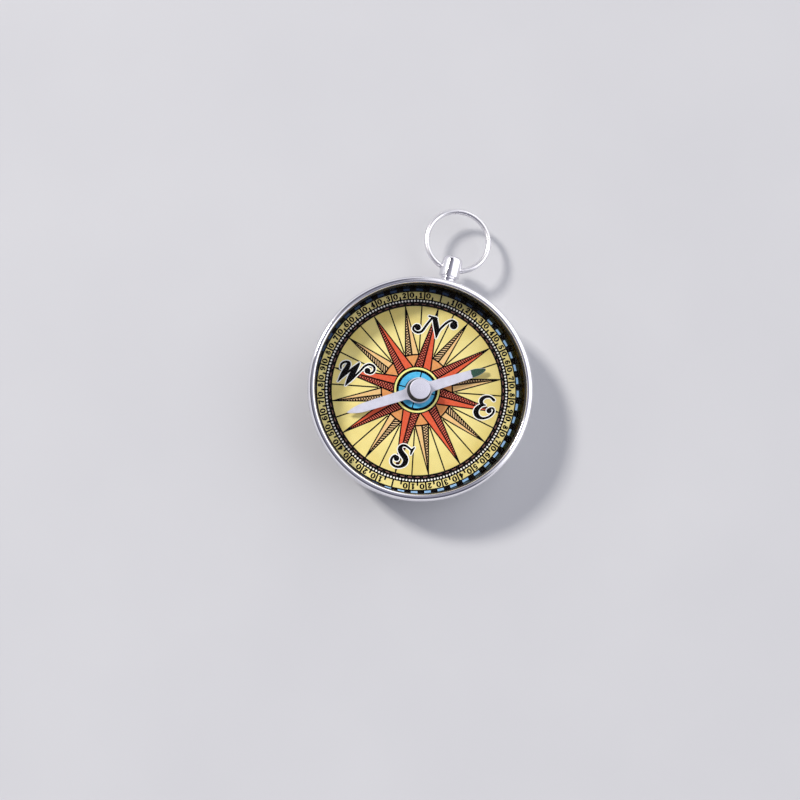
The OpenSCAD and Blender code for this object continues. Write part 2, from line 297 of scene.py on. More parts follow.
nickel_bezel = polished_nickel("nickel_bezel", "#F4F3F6", "#DCDBE3", 0.09, 0.16)
nickel_case = polished_nickel("nickel_case", "#E6E5E8", "#C6C5CC", 0.16, 0.27)
nickel_wall = polished_nickel("nickel_wall", "#7A745F", "#5E5947", 0.14, 0.24)
wall_shader = nickel_wall.node_tree.nodes["Principled BSDF"]
wall_shader.inputs["Specular Tint"].default_value = linear("#8C8672")
nickel_wire = polished_nickel("nickel_wire", "#F0EFF2", "#D6D4DA", 0.24, 0.34, WIRE_MARK_PITCH)
print("four nickel finishes made")

# %% [markdown]
# The bezel is the ring that grips the cup and holds the glass down. The tool that turned its lip
# left a wide round outside and a tight one inside, which is why the metal shows a broad band and
# a thin one. The skirt below has a small round at its foot. It could be a curve with a bevel
# object, but an outline shows each size.

# %% Turn the bezel
LIP_W = 1.4
LIP_T = 0.8
BEZEL_WALL = 0.5
SKIRT_ROUND = 0.2
LIP_OUT_ROUND = 0.94
LIP_IN_ROUND = 0.4
lip_in_r = bezel_r - LIP_W
lip_z = case_top - LIP_T
skirt_in_r = bezel_r - BEZEL_WALL

bezel = turned(
    [(skirt_in_r, bezel_z), (bezel_r, bezel_z), (bezel_r, case_top), (lip_in_r, case_top),
     (lip_in_r, lip_z), (skirt_in_r, lip_z)],
    {1: SKIRT_ROUND, 2: LIP_OUT_ROUND, 3: LIP_IN_ROUND})
keep_flats(make_piece("bezel_turned", bezel, nickel_bezel, "case", ["bezel"]))

# %% [markdown]
# The cup is the case's body. It was drawn from sheet and then turned, so its side rolls into the
# flat back in one wide round. A cylinder with a bevelled edge would do for the outside, but the
# cup is hollow. So the outline goes up the outside, over the grip that the bezel hides, down the
# inside to the ledge for the dial and across the floor to the axis.

# %% Turn the cup
CUP_CORNER = 5
WELL_CORNER = CUP_CORNER / 2
CUP_WALL = 0.45
LEDGE_W = 1.5
FLOOR_T = 0.8
GRIP_GAP = 0.05
cup_r = high("case_cup").x
grip_r = skirt_in_r - GRIP_GAP
bore_r = grip_r - CUP_WALL
ledge_z = low("dial_plate").z
well_r = bore_r - LEDGE_W

cup = turned(
    [(0, 0), (cup_r, 0), (cup_r, bezel_z), (grip_r, bezel_z), (grip_r, glass_z), (bore_r, glass_z),
     (bore_r, ledge_z), (well_r, ledge_z), (well_r, FLOOR_T), (0, FLOOR_T)],
    {1: CUP_CORNER, 8: WELL_CORNER}, closed=False)
keep_flats(make_piece("cup_turned", cup, nickel_case, "case", ["case_cup"]))

# %% [markdown]
# The glass is a flat disc with ground edges. Light has to reach the dial through it, and a
# refracting shader would stop the lamp, so this glass is a mix: mostly clear, with a sharp
# reflection. Glass reflects four parts in a hundred straight on and all at a glance, with the
# fifth power of the slant between, which is Schlick's short form of Fresnel's law. The dial in
# the photograph shows without any veil, so a tenth of that reflection is kept. Pocket crystals
# carry faint rub marks, which only loosen the reflection a little.

# %% Window glass
RUB_SIZE = 1.6
STRAIGHT_ON = 0.04
SLANT_POWER = 5
GLASS_SHARE = 0.1


def window_glass(name, share):
    """Clear flat glass: a transparent shader with some sharp reflection, more at a slant."""
    material, tree, shader = blank(name)
    rubs = grain(tree, RUB_SIZE, 4)
    tint = blend_colours(tree, rubs, "#FFFFFF", "#FCFDFD")
    clear = add(tree, "BsdfTransparent", None, {"Color": tint}).outputs[0]
    rough = between(tree, rubs, 0.02, 0.06)
    gloss = add(tree, "BsdfGlossy", {"Color": (1, 1, 1, 1)}, {"Roughness": rough}).outputs[0]
    slant = add(tree, "LayerWeight", {"Blend": 0.5}).outputs["Facing"]
    steep = add(tree, "Math", {1: SLANT_POWER}, {0: slant}, operation="POWER").outputs[0]
    span = {"To Min": STRAIGHT_ON * share, "To Max": share}
    weight = add(tree, "MapRange", span, {"Value": steep}).outputs["Result"]
    mixed = add(tree, "MixShader", None, {0: weight, 1: clear, 2: gloss}).outputs[0]
    tree.links.new(mixed, tree.nodes["Material Output"].inputs["Surface"])
    tree.nodes.remove(shader)
    return material


crystal_glass = window_glass("crystal_glass", GLASS_SHARE)
print("glass reflects", STRAIGHT_ON * GLASS_SHARE, "straight on and", GLASS_SHARE, "at a glance")

# %% Turn the crystal
GLASS_EDGE = 0.12
glass_r = high("crystal").x
crystal = turned(
    [(0, glass_z), (glass_r, glass_z), (glass_r, glass_top), (0, glass_top)],
    {1: GLASS_EDGE, 2: GLASS_EDGE}, closed=False)
keep_flats(make_piece("crystal_disc", crystal, crystal_glass, "case", ["crystal"]))

# %% [markdown]
# Between the glass and the lip lies a thin black ring of nitrile rubber that keeps the water
# out. Moulded rubber is nearly black and dull, with a fine bloom. A torus would make its section
# round all over, but only its inner edge is, where it bulges a little under the lip. So it is
# turned like the metal. The cap's side, whose dark reflection is painted on, gets the same finish.

# %% Turn the gasket
BLOOM_SIZE = 0.25
BLOOM_DEPTH = 0.004
GASKET_SHOW = 0.22
GASKET_ROUND = 0.1


def dull_black(name, dark, bloom):
    """Moulded rubber, or a dark reflection painted on metal: dull black with a greyish bloom."""
    material, tree, shader = blank(name)
    dust = grain(tree, BLOOM_SIZE)
    tree.links.new(blend_colours(tree, dust, dark, bloom), shader.inputs["Base Color"])
    tree.links.new(between(tree, dust, 0.5, 0.72), shader.inputs["Roughness"])
    relief(tree, shader, dust, BLOOM_DEPTH)
    return material


gasket_rubber = dull_black("gasket_rubber", "#080809", "#141415")
gasket_in_r = lip_in_r - GASKET_SHOW
gasket_r = high("crystal_gasket").x
gasket = turned(
    [(gasket_in_r, glass_top), (gasket_r, glass_top), (gasket_r, lip_z), (gasket_in_r, lip_z)],
    {0: GASKET_ROUND, 3: GASKET_ROUND})
gasket_piece = make_piece("gasket_moulded", gasket, gasket_rubber, "case",
                          ["crystal_gasket"])
keep_flats(gasket_piece)

# %% [markdown]
# A polished ring lines the space between the dial and the glass. It holds the card down and
# throws back a dim picture of the dial's rim, which is why the blue dashes seem to be doubled.
# The photograph shows the card and the ring's foot glued a third of a millimetre off the case's
# middle, mostly to the west. Moving the whole ring would push it into the cup, so only its foot
# is moved sideways and the top stays round the axis.

# %% Turn the wall
WALL_FOOT_R = 21.0
WALL_TOP_R = 21.05
WALL_EASE = 0.05
DIAL_SHIFT = Vector((-0.3, 0.1, 0))
wall = turned(
    [(WALL_FOOT_R, dial_z), (wall_out_r, dial_z), (wall_out_r, glass_z), (WALL_TOP_R, glass_z)],
    {0: WALL_EASE, 3: WALL_EASE})
low_verts = [vert for vert in wall.verts if vert.co.z < dial_z + 2 * WALL_EASE]
foot = [vert for vert in low_verts if vert.co.xy.length < WALL_TOP_R + WALL_EASE]
bmesh.ops.translate(wall, verts=foot, vec=DIAL_SHIFT)
keep_flats(make_piece("wall_turned", wall, nickel_wall, "case", ["lining_ring"]))

# %% [markdown]
# The dial is a printed card. Its paper was coated, printed and varnished, so it shows a soft
# gloss. Its yellow drifts between lemon and gold in patches some millimetres wide. Towards the edge
# of the star it is darkened as painted shade from the case wall, and under the numbers it is
# lightened again as painted light. Two rings say this, one darker and one lighter, each with its
# start, its end and its strength. The CAD card already has the right shape, so it only gets a new material.

# %% Coat the card
PRINT_GLOSS = 0.04
PATCH_SIZE = 5
FIBRE_SIZE = 0.18
FIBRE_DEPTH = 0.001
# A darker ring of painted shade towards the wall, and a lighter ring of painted light under the numbers.
PAINTED_LIGHT_AND_SHADE_RINGS = [(12, 18, 0.4), (18.3, 18.8, -0.45)]


def varnished_card(name, pale, gold):
    """Coated paper, printed yellow and varnished: cloudy colour with rings of painted shade and light, soft
    gloss, faint fibre.
    """
    material, tree, shader = blank(name)
    depth = between(tree, grain(tree, PATCH_SIZE, 2), 0, 0.5)
    place = add(tree, "TexCoord").outputs["Object"]
    reach = add(tree, "VectorMath", None, {0: place}, operation="LENGTH").outputs["Value"]
    for start, end, strength in PAINTED_LIGHT_AND_SHADE_RINGS:
        span = {"From Min": start * MM, "From Max": end * MM, "To Max": strength}
        more = add(tree, "MapRange", span, {"Value": reach}).outputs["Result"]
        depth = add(tree, "Math", None, {0: depth, 1: more}, operation="ADD").outputs[0]
    tree.links.new(blend_colours(tree, depth, pale, gold), shader.inputs["Base Color"])
    fibre = grain(tree, FIBRE_SIZE, 4)
    tree.links.new(between(tree, fibre, 0.36, 0.5), shader.inputs["Roughness"])
    shader.inputs["Specular IOR Level"].default_value = PRINT_GLOSS
    relief(tree, shader, fibre, FIBRE_DEPTH)
    return material


card_yellow = varnished_card("varnished_card", "#F6E8A0", "#DFC870")
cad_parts["dial_card"].data.materials.clear()
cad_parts["dial_card"].data.materials.append(card_yellow)
print("card coated, its top at", round(dial_z, 3))

# %% [markdown]
# The inks were laid on the card one after another, and each later ink covers what lies under
# it. The mesh does the same: every colour is a film a few thousandths of a millimetre thick on
# its own step, so no two films share a height. Where strokes of one ink cross, each is lifted by
# a twelfth of that step, so that they don't share one either. Drawing the print as a picture
# would need an image file, while films stay sharp at any distance.

# %% Layers of ink
INK_STEP = 0.003
LIFT = INK_STEP / 12
RING_STEPS = 144
SECTOR_STEPS = 3
PRINT_ORDER = ["small fill", "small line", "sun", "sun line", "large fill", "large hatch",
               "large line", "medallion", "enamel", "tick", "halo", "letter", "dot"]


def flat_ring(bm, inner_r, outer_r, lift=0):
    """Adds a flat ring, made by spinning one edge round the dial's axis."""
    ends = [bm.verts.new((radius, 0, lift)) for radius in (inner_r, outer_r)]
    edge = bm.edges.new(ends)
    bmesh.ops.spin(bm, geom=ends + [edge], cent=(0, 0, 0), axis=(0, 0, 1),
                   angle=math.tau, steps=RING_STEPS, use_merge=True)


def ring(inner_r, outer_r):
    """A drawing of one flat ring."""
    bm = bmesh.new()
    flat_ring(bm, inner_r, outer_r)
    return bm


def sector(bm, inner_r, outer_r, middle, sweep):
    """Adds a short piece of a ring, its middle at a bearing in degrees, clockwise from north."""
    start = Matrix.Rotation(-math.radians(middle - sweep / 2), 3, "Z")
    ends = [bm.verts.new(start @ Vector((0, radius, 0))) for radius in (inner_r, outer_r)]
    edge = bm.edges.new(ends)
    bmesh.ops.spin(bm, geom=ends + [edge], cent=(0, 0, 0), axis=(0, 0, 1),
                   angle=-math.radians(sweep), steps=SECTOR_STEPS)


def repeat(bm, count):
    """Copies all that is drawn so far round the dial, count times in all."""
    bmesh.ops.spin(bm, geom=bm.verts[:] + bm.edges[:] + bm.faces[:], cent=(0, 0, 0),
                   axis=(0, 0, 1), angle=-math.tau * (count - 1) / count, steps=count - 1,
                   use_duplicate=True)


def corner_face(bm, corners):
    """Adds one flat face with the given (x, y) corners."""
    bm.faces.new([bm.verts.new((x, y, 0)) for x, y in corners])


def append(bm, other, turn=0, free=True):
    """Adds another flat drawing, turned clockwise by an angle in degrees."""
    mesh = bpy.data.meshes.new("drawing")
    other.to_mesh(mesh)
    mesh.transform(Matrix.Rotation(-math.radians(turn), 4, "Z"))
    bm.from_mesh(mesh)
    bpy.data.meshes.remove(mesh)
    if free:
        other.free()


def round_dial(one, count, turn=0):
    """A drawing repeated round the dial, the whole turned clockwise by an angle in degrees."""
    repeat(one, count)
    bm = bmesh.new()
    append(bm, one, turn)
    return bm


def print_film(name, bm, ink, layer, stands_for=()):
    """Gives a flat drawing its ink's thickness and lays it on its own step above the card."""
    bmesh.ops.translate(bm, verts=bm.verts, vec=DIAL_SHIFT)
    made = bmesh.ops.extrude_face_region(bm, geom=bm.faces[:], use_keep_orig=True)
    raised = [item for item in made["geom"] if isinstance(item, bmesh.types.BMVert)]
    bmesh.ops.translate(bm, verts=raised, vec=(0, 0, INK_STEP))
    bmesh.ops.translate(bm, verts=bm.verts, vec=(0, 0, dial_z + PRINT_ORDER.index(layer) * INK_STEP))
    bmesh.ops.recalc_face_normals(bm, faces=bm.faces)
    make_piece(name, bm, ink, "case", stands_for)


print(len(PRINT_ORDER), "layers of ink,", round(len(PRINT_ORDER) * INK_STEP, 3), "mm high in all")

# %% [markdown]
# Lines, letters and numbers were engraved with a flat pen, whose strokes swell and thin. Text
# objects would need a font of just this cut. So the same pen draws them here: a short edge, the
# nib, is set across the start of a stroke and extruded from point to point, wider or narrower as
# it goes. A smooth curve through the points, called a Catmull-Rom spline, keeps the list of
# points short. Round spots close the ends.

# %% Pen strokes
CURVE_SAMPLES = 6
SPOT_STEPS = 16


def smooth_path(points, closed):
    """Points on a smooth curve through (x, y, width) points, the widths smoothed too."""
    knots = [Vector(point) for point in points]
    count = len(knots)
    if count == 2:
        return knots
    path = []
    for i in range(count if closed else count - 1):
        if closed:
            a, b, c, d = (knots[(i + k) % count] for k in (-1, 0, 1, 2))
        else:
            a, b, c, d = (knots[min(max(i + k, 0), count - 1)] for k in (-1, 0, 1, 2))
        for step in range(CURVE_SAMPLES):
            t = step / CURVE_SAMPLES
            path.append(0.5 * (2 * b + (c - a) * t + (2 * a - 5 * b + 4 * c - d) * t ** 2
                               + (3 * b - a - 3 * c + d) * t ** 3))
    return path + [path[0] if closed else knots[-1]]


def spot(bm, x, y, radius, lift=0, steps=SPOT_STEPS):
    """Adds a round spot of ink."""
    bmesh.ops.create_circle(bm, cap_ends=True, radius=radius, segments=steps,
                            matrix=Matrix.Translation((x, y, lift)))


def stroke(bm, points, extra=0, lift=0, closed=False, round_ends=True):
    """Pulls a nib along a smooth path of (x, y, width) points. extra widens the whole stroke."""
    path = smooth_path(points, closed)
    last = len(path) - 1
    nib = None
    for i, here in enumerate(path):
        if closed:
            ahead = path[(i + 1) % last] - path[(i - 1) % last]
        else:
            ahead = path[min(i + 1, last)] - path[max(i - 1, 0)]
        across = Vector((-ahead.y, ahead.x, 0)).normalized() * (abs(here.z) + extra) / 2
        middle = Vector((here.x, here.y, lift))
        if nib is None:
            nib = bm.edges.new([bm.verts.new(middle + across), bm.verts.new(middle - across)])
            left, right = nib.verts
            continue
        made = bmesh.ops.extrude_edge_only(bm, edges=[nib])["geom"]
        nib = next(item for item in made if isinstance(item, bmesh.types.BMEdge))
        first, second = nib.verts
        if (first.co - left.co).length > (first.co - right.co).length:
            first, second = second, first
        first.co, second.co = middle + across, middle - across
        left, right = first, second
    if round_ends and not closed:
        for x, y, width in (points[0], points[-1]):
            spot(bm, x, y, (width + extra) / 2, lift + LIFT / 2)


print("a curve between two points is drawn in", CURVE_SAMPLES, "steps")

# %% [markdown]
# Shading is cut as close parallel lines. Thin strips laid over a point would stick out past its
# slanting edge. So the point itself is cut by pairs of planes, one pair for each line, and the
# faces between the lines are thrown away. What is left ends exactly on the edge.

# %% Hatching
def hatch(corners, angle, pitch, line_w):
    """Parallel lines that fill a shape: planes cut it, and the faces between lines go."""
    bm = bmesh.new()
    corner_face(bm, corners)
    across = Vector((-math.sin(math.radians(angle)), math.cos(math.radians(angle)), 0))
    reach = [across.dot(vert.co) / pitch for vert in bm.verts]
    for line in range(math.floor(min(reach)), math.ceil(max(reach)) + 1):
        for edge in (line * pitch - line_w / 2, line * pitch + line_w / 2):
            bmesh.ops.bisect_plane(bm, geom=bm.verts[:] + bm.edges[:] + bm.faces[:],
                                   plane_co=across * edge, plane_no=across)
    gaps = []
    for face in bm.faces:
        place = across.dot(face.calc_center_median()) / pitch
        if abs(place - round(place)) * pitch > line_w / 2:
            gaps.append(face)
    bmesh.ops.delete(bm, geom=gaps, context="FACES")
    return bm


sample = hatch([(0, 0), (1, 0), (0, 5)], 35, 0.5, 0.2)
print("a narrow point is hatched with", len(sample.faces), "lines half a millimetre apart")
sample.free()

# %% [markdown]
# Printing ink on a coated card is a thin, slightly glossy film. To the eye each colour is flat
# but never quite even: it is a touch lighter where the roller left less, in grains of about half
# a millimetre, and the paper's fibre still shows through it. One plain colour would look like
# plastic, so each ink is a pair, the full strength and the thin.

# %% Mix the inks
INK_GRAIN = 0.45


def printing_ink(name, full, thin):
    """Offset ink on coated paper: uneven strength, fibre underneath, soft gloss."""
    material, tree, shader = blank(name)
    strength = between(tree, grain(tree, INK_GRAIN), 0, 1)
    tree.links.new(blend_colours(tree, strength, full, thin), shader.inputs["Base Color"])
    fibre = grain(tree, FIBRE_SIZE, 4)
    tree.links.new(between(tree, fibre, 0.4, 0.54), shader.inputs["Roughness"])
    shader.inputs["Specular IOR Level"].default_value = PRINT_GLOSS
    relief(tree, shader, fibre, FIBRE_DEPTH)
    return material


INKS = {
    "black": ("#060405", "#0C0909"),
    "maroon": ("#2C0808", "#3C100E"),
    "red": ("#DA5638", "#E26848"),
    "rose": ("#D0604C", "#DC7660"),
    "orange": ("#DA8E50", "#E2A268"),
    "peach": ("#E8BB7C", "#EEC990"),
    "cream": ("#DEB684", "#E6C496"),
    "blue": ("#44AEE2", "#66C4EC"),
    "yellow": ("#EEE683", "#F4EE9E"),
    "white": ("#F4F3F0", "#FCFBF8"),
    "pale_blue": ("#86B8EE", "#AACFF4"),
    "navy": ("#2E4468", "#40587E"),
    "old_rose": ("#74504C", "#8A625C"),
}
inks = {name: printing_ink("ink_" + name, full, thin) for name, (full, thin) in INKS.items()}
print(len(inks), "inks mixed:", ", ".join(inks))

# %% [markdown]
# The star has eight large points, each split along its middle: the half that follows clockwise
# is solid red, the other half is rose with engraved lines over it. Eight small points fill the
# gaps, half peach and half cream, and stand on a sun disc. An Array modifier could repeat them
# only through an empty that is turned. Here one point of each kind is drawn towards north, and
# the spin operator lays its copies round the dial.

# %% Draw the star's fills
BAND_R = 17.35
STAR_TIP_R = 17.3
LARGE_ROOT_R = 4.45
LARGE_HALF_W = 1.72
SUN_R = 7.25
SMALL_ROOT_R = 7.0
SMALL_HALF_W = 1.4
POINTS = 8
HALF_STEP = 180 / POINTS


def half_point(root_r, half_w, side):
    """Corners of one half of a point that looks north. side is 1 for east and -1 for west."""
    return [(0, root_r), (side * half_w, root_r), (0, STAR_TIP_R)]


def fill(corners, turn=0):
    """A solid half point, repeated round the dial."""
    one = bmesh.new()
    corner_face(one, corners)
    return round_dial(one, POINTS, turn)


small_east = half_point(SMALL_ROOT_R, SMALL_HALF_W, 1)
small_west = half_point(SMALL_ROOT_R, SMALL_HALF_W, -1)
large_east = half_point(LARGE_ROOT_R, LARGE_HALF_W, 1)
large_west = half_point(LARGE_ROOT_R, LARGE_HALF_W, -1)
sun = ring(LARGE_ROOT_R, SUN_R)
print_film("print_sun", sun, inks["orange"], "sun", ["star_ink_orange"])
peach = fill(small_east, HALF_STEP)
print_film("print_small_peach", peach, inks["peach"], "small fill")
cream = fill(small_west, HALF_STEP)
print_film("print_small_cream", cream, inks["cream"], "small fill")
print_film("print_large_red", fill(large_east), inks["red"], "large fill", ["star_ink_red"])
print_film("print_large_rose", fill(large_west), inks["rose"], "large fill")

# %% [markdown]
# The lines over the halves are of two sorts, as an engraver would cut them: a lattice of two
# crossed sets on every other point, and single slanting lines on those between. Between the
# points run plain rays. A picture could hold all of this, but lines keep their edge close by.

# %% Draw the lines of the small points and the rays
POINT_LINE_W = 0.3
TIP_THIN = 0.7
RAY_LINE_W = 0.27
RAY_ROOT_R = 7.9
HATCH_PITCH = 0.44
LATTICE_ANGLE = 35
SMALL_SLANT_ANGLE = 35
SMALL_LATTICE_W = 0.17
SMALL_SLANT_W = 0.25
LINE_OVER = 0.05
POINT_LIFT = 2
RAY_LIFT = 5


def lattice(corners, line_w, turn):
    """Two crossed sets of lines on every other point."""
    bm = hatch(corners, LATTICE_ANGLE, HATCH_PITCH, line_w)
    crossed = hatch(corners, -LATTICE_ANGLE, HATCH_PITCH, line_w)
    bmesh.ops.translate(crossed, verts=crossed.verts, vec=(0, 0, LIFT))
    append(bm, crossed)
    return round_dial(bm, POINTS // 2, turn)


def slant(corners, angle, line_w, turn):
    """One set of lines on every other point."""
    return round_dial(hatch(corners, angle, HATCH_PITCH, line_w), POINTS // 2, turn)


def point_lines(root_r, half_w, turn=0):
    """Outline and middle line of every point."""
    bm = bmesh.new()
    for number, x in enumerate((-half_w, 0, half_w)):
        ends = [(x, root_r, POINT_LINE_W), (0, STAR_TIP_R, POINT_LINE_W * TIP_THIN)]
        stroke(bm, ends, lift=(POINT_LIFT + number) * LIFT, round_ends=False)
    return round_dial(bm, POINTS, turn)


def straight_line(start_r, end_r, start_w, end_w, lift=LIFT):
    """A drawing of one straight line towards north."""
    bm = bmesh.new()
    stroke(bm, [(0, start_r, start_w), (0, end_r, end_w)], lift=lift, round_ends=False)
    return bm


small_lines = slant(small_west, SMALL_SLANT_ANGLE, SMALL_SLANT_W, HALF_STEP)
append(small_lines, lattice(small_west, SMALL_LATTICE_W, -HALF_STEP))
append(small_lines, point_lines(SMALL_ROOT_R, SMALL_HALF_W, HALF_STEP))
ray = straight_line(RAY_ROOT_R, BAND_R + LINE_OVER, RAY_LINE_W, RAY_LINE_W, RAY_LIFT * LIFT)
append(small_lines, round_dial(ray, 2 * POINTS, HALF_STEP / 2))
print_film("print_small_lines", small_lines, inks["black"], "small line")

# %% Draw the lines of the sun and the large points
LARGE_SLANT_ANGLE = 15
LARGE_LATTICE_W = 0.18
LARGE_SLANT_W = 0.26
sun_line = ring(SUN_R - POINT_LINE_W / 2, SUN_R + POINT_LINE_W / 2)
print_film("print_sun_line", sun_line, inks["black"], "sun line")
large_lines = point_lines(LARGE_ROOT_R, LARGE_HALF_W)
print_film("print_large_lines", large_lines, inks["black"], "large line")
large_hatch = lattice(large_west, LARGE_LATTICE_W, 0)
append(large_hatch, slant(large_west, LARGE_SLANT_ANGLE, LARGE_SLANT_W, 2 * HALF_STEP))
print_film("print_large_hatch", large_hatch, inks["maroon"], "large hatch")

# %% [markdown]
# The medallion is a small target: a thin black edge, a yellow ring, a black ring and a blue disc
# with four ticks. Rings cut to fit each other would leave gaps. So the black goes down first as
# one broad ring, and the colours are laid over it. The needle's cap hides the middle.

# %% Draw the medallion
MEDAL_R = 4.86
YELLOW_R = 4.62
YELLOW_IN_R = 4.22
BLUE_R = 3.7
BLUE_IN_R = 2.05
TICK_IN_R = 2.35
TICK_IN_W = 0.2
TICK_OUT_W = 0.27

medal = ring(BLUE_IN_R, MEDAL_R)
print_film("print_medal_black", medal, inks["black"], "medallion")
yellow = ring(YELLOW_IN_R, YELLOW_R)
print_film("print_medal_yellow", yellow, inks["yellow"], "enamel")
blue = ring(BLUE_IN_R, BLUE_R)
print_film("print_medal_blue", blue, inks["blue"], "enamel", ["medal_ink_blue"])
tick = straight_line(TICK_IN_R, BLUE_R + LINE_OVER, TICK_IN_W, TICK_OUT_W, 0)
ticks = round_dial(tick, 4)
flat_ring(ticks, TICK_IN_R - RAY_LINE_W / 2, TICK_IN_R + RAY_LINE_W / 2, LIFT)
print_film("print_medal_ticks", ticks, inks["black"], "tick")

# %% [markdown]
# Numbers run from nothing at north and south to ninety at east and west. Each digit is drawn
# once in a box one unit high, with its foot towards the dial's middle, then stamped wherever it
# is needed. Each place holds how far right, how high and how wide the pen is. A nine is a six
# turned upside down, as in a printer's type case.

# %% Draw the digits
DIGITS = {
    "0": [[(0, 0.97, 0.08), (-0.27, 0.76, 0.17), (-0.31, 0.5, 0.2), (-0.27, 0.24, 0.17),
           (0, 0.03, 0.08), (0.27, 0.24, 0.17), (0.31, 0.5, 0.2), (0.27, 0.76, 0.17)]],
    "1": [[(0.02, 0.05, 0.21), (0.02, 0.93, 0.21)], [(-0.2, 0.77, 0.06), (-0.04, 0.92, 0.1)],
          [(-0.2, 0.04, 0.08), (0.24, 0.04, 0.08)]],
    "2": [[(-0.25, 0.74, 0.14), (-0.13, 0.92, 0.1), (0.06, 0.95, 0.11), (0.22, 0.79, 0.19),
           (0.18, 0.58, 0.18), (-0.02, 0.35, 0.13), (-0.25, 0.1, 0.08)],
          [(-0.26, 0.07, 0.14), (-0.05, 0.09, 0.16), (0.16, 0.06, 0.15), (0.28, 0.2, 0.06)]],
    "3": [[(-0.22, 0.79, 0.13), (-0.08, 0.94, 0.08), (0.08, 0.94, 0.11), (0.22, 0.76, 0.18),
           (0.12, 0.59, 0.11), (-0.05, 0.53, 0.07)],
          [(-0.05, 0.53, 0.07), (0.16, 0.46, 0.12), (0.26, 0.27, 0.2), (0.1, 0.07, 0.12),
           (-0.1, 0.05, 0.08), (-0.23, 0.2, 0.13)]],
    "4": [[(0.08, 0.93, 0.09), (-0.29, 0.3, 0.08)], [(-0.3, 0.3, 0.09), (0.32, 0.3, 0.09)],
          [(0.12, 0.94, 0.17), (0.12, 0.05, 0.2)], [(-0.05, 0.04, 0.07), (0.29, 0.04, 0.07)]],
    "5": [[(-0.15, 0.92, 0.12), (0.22, 0.93, 0.12)], [(-0.17, 0.9, 0.07), (-0.2, 0.53, 0.07)],
          [(-0.2, 0.5, 0.08), (-0.02, 0.59, 0.1), (0.2, 0.48, 0.17), (0.25, 0.28, 0.19),
           (0.1, 0.07, 0.12), (-0.1, 0.05, 0.08), (-0.23, 0.19, 0.13)]],
    "6": [[(0.19, 0.85, 0.13), (0.03, 0.95, 0.09), (-0.16, 0.8, 0.14), (-0.27, 0.5, 0.19),
           (-0.2, 0.17, 0.17), (0, 0.04, 0.08), (0.2, 0.14, 0.15), (0.26, 0.31, 0.18),
           (0.14, 0.5, 0.1), (-0.04, 0.53, 0.07), (-0.2, 0.4, 0.07)]],
    "7": [[(-0.27, 0.9, 0.16), (0.26, 0.9, 0.16)], [(-0.27, 0.92, 0.06), (-0.28, 0.74, 0.05)],
          [(0.26, 0.84, 0.07), (0.08, 0.5, 0.12), (-0.02, 0.24, 0.18), (-0.03, 0.08, 0.19)]],
    "8": [[(0, 0.96, 0.08), (-0.19, 0.76, 0.13), (0, 0.55, 0.1), (0.19, 0.76, 0.13)],
          [(0, 0.55, 0.1), (-0.25, 0.28, 0.17), (0, 0.04, 0.08), (0.25, 0.28, 0.17)]],
}
DIGITS["9"] = [[(-x, 1 - y, width) for x, y, width in points] for points in DIGITS["6"]]
CLOSED_DIGITS = "08"
DIGIT_BOLD = 0.14


def draw_digit(character, height):
    """One digit, its foot at the origin and its head towards north."""
    bm = bmesh.new()
    for number, points in enumerate(DIGITS[character]):
        sized = [(x * height, y * height, width * height) for x, y, width in points]
        stroke(bm, sized, DIGIT_BOLD, number * LIFT, character in CLOSED_DIGITS)
    return bm


print(len(DIGITS), "digits drawn with", sum(len(strokes) for strokes in DIGITS.values()), "strokes")

# %% [markdown]
# The scale is two black bands with the numbers between them. A long line at every ten degrees
# passes between the two digits of each number, and a short one stands half way. All of it is one
# film, so the bands, lines and digits overlap freely.

# %% Draw the scale
DEGREE_R = 18.8
RIM_BAND_R = 20.2
BAND_OVER = 0.1
DIGIT_H = 1.02
DIGIT_FOOT_R = 19.02
DIGIT_TURN = 2.3
TEN_LINE_W = 0.32
FIVE_LINE_W = 0.38
FIVE_LINE_END_W = 0.304
FIVE_LINE_L = 0.58
TENS = 36


def scale_number(bearing):
    """The number printed at a bearing: it rises from the poles of the dial to ninety."""
    from_north = min(bearing, 360 - bearing)
    return min(from_north, 180 - from_north)


scale = ring(BAND_R - BAND_OVER, DEGREE_R)
flat_ring(scale, RIM_BAND_R, WALL_FOOT_R + WALL_EASE)
ten_line = straight_line(DEGREE_R - LINE_OVER, RIM_BAND_R + LINE_OVER, TEN_LINE_W, TEN_LINE_W)
append(scale, round_dial(ten_line, TENS))
five_line = straight_line(DEGREE_R - LINE_OVER, DEGREE_R + FIVE_LINE_L, FIVE_LINE_W, FIVE_LINE_END_W)
append(scale, round_dial(five_line, TENS, 180 / TENS))
stamps = {character: draw_digit(character, DIGIT_H) for character in DIGITS}
for stamp in stamps.values():
    bmesh.ops.translate(stamp, verts=stamp.verts, vec=(0, DIGIT_FOOT_R, 0))
for bearing in range(0, 360, 360 // TENS):
    number = scale_number(bearing)
    if number:
        append(scale, stamps[str(number)[0]], bearing - DIGIT_TURN, free=False)
        append(scale, stamps["0"], bearing + DIGIT_TURN, free=False)
print_film("print_scale", scale, inks["black"], "large line", ["scale_ink"])

# %% [markdown]
# White dots mark every two degrees of the inner band, with dull rose dashes at every five, and
# blue dashes run round the outer one. Gaps in the black would do the same with fewer films, but
# paint on top is what the printer used. The dashes are pale blue to the south-east; on the other
# side, which lies in the shade of the lip, they are printed navy as painted shade, so there are two inks.

# %% Print the dots and dashes
DOTS = 180
DOT_R = 18.34
DOT_SIZE = 0.2
DOT_STEPS = 12
dots = bmesh.new()
spot(dots, 0, DOT_R, DOT_SIZE, steps=DOT_STEPS)
print_film("print_white_dots", round_dial(dots, DOTS), inks["white"], "dot")

ROSE_DASHES = 72
ROSE_IN_R = 17.62
ROSE_OUT_R = 17.78
ROSE_SWEEP = 2.6
rose = bmesh.new()
sector(rose, ROSE_IN_R, ROSE_OUT_R, 0, ROSE_SWEEP)
print_film("print_rose_dashes", round_dial(rose, ROSE_DASHES), inks["old_rose"], "dot")

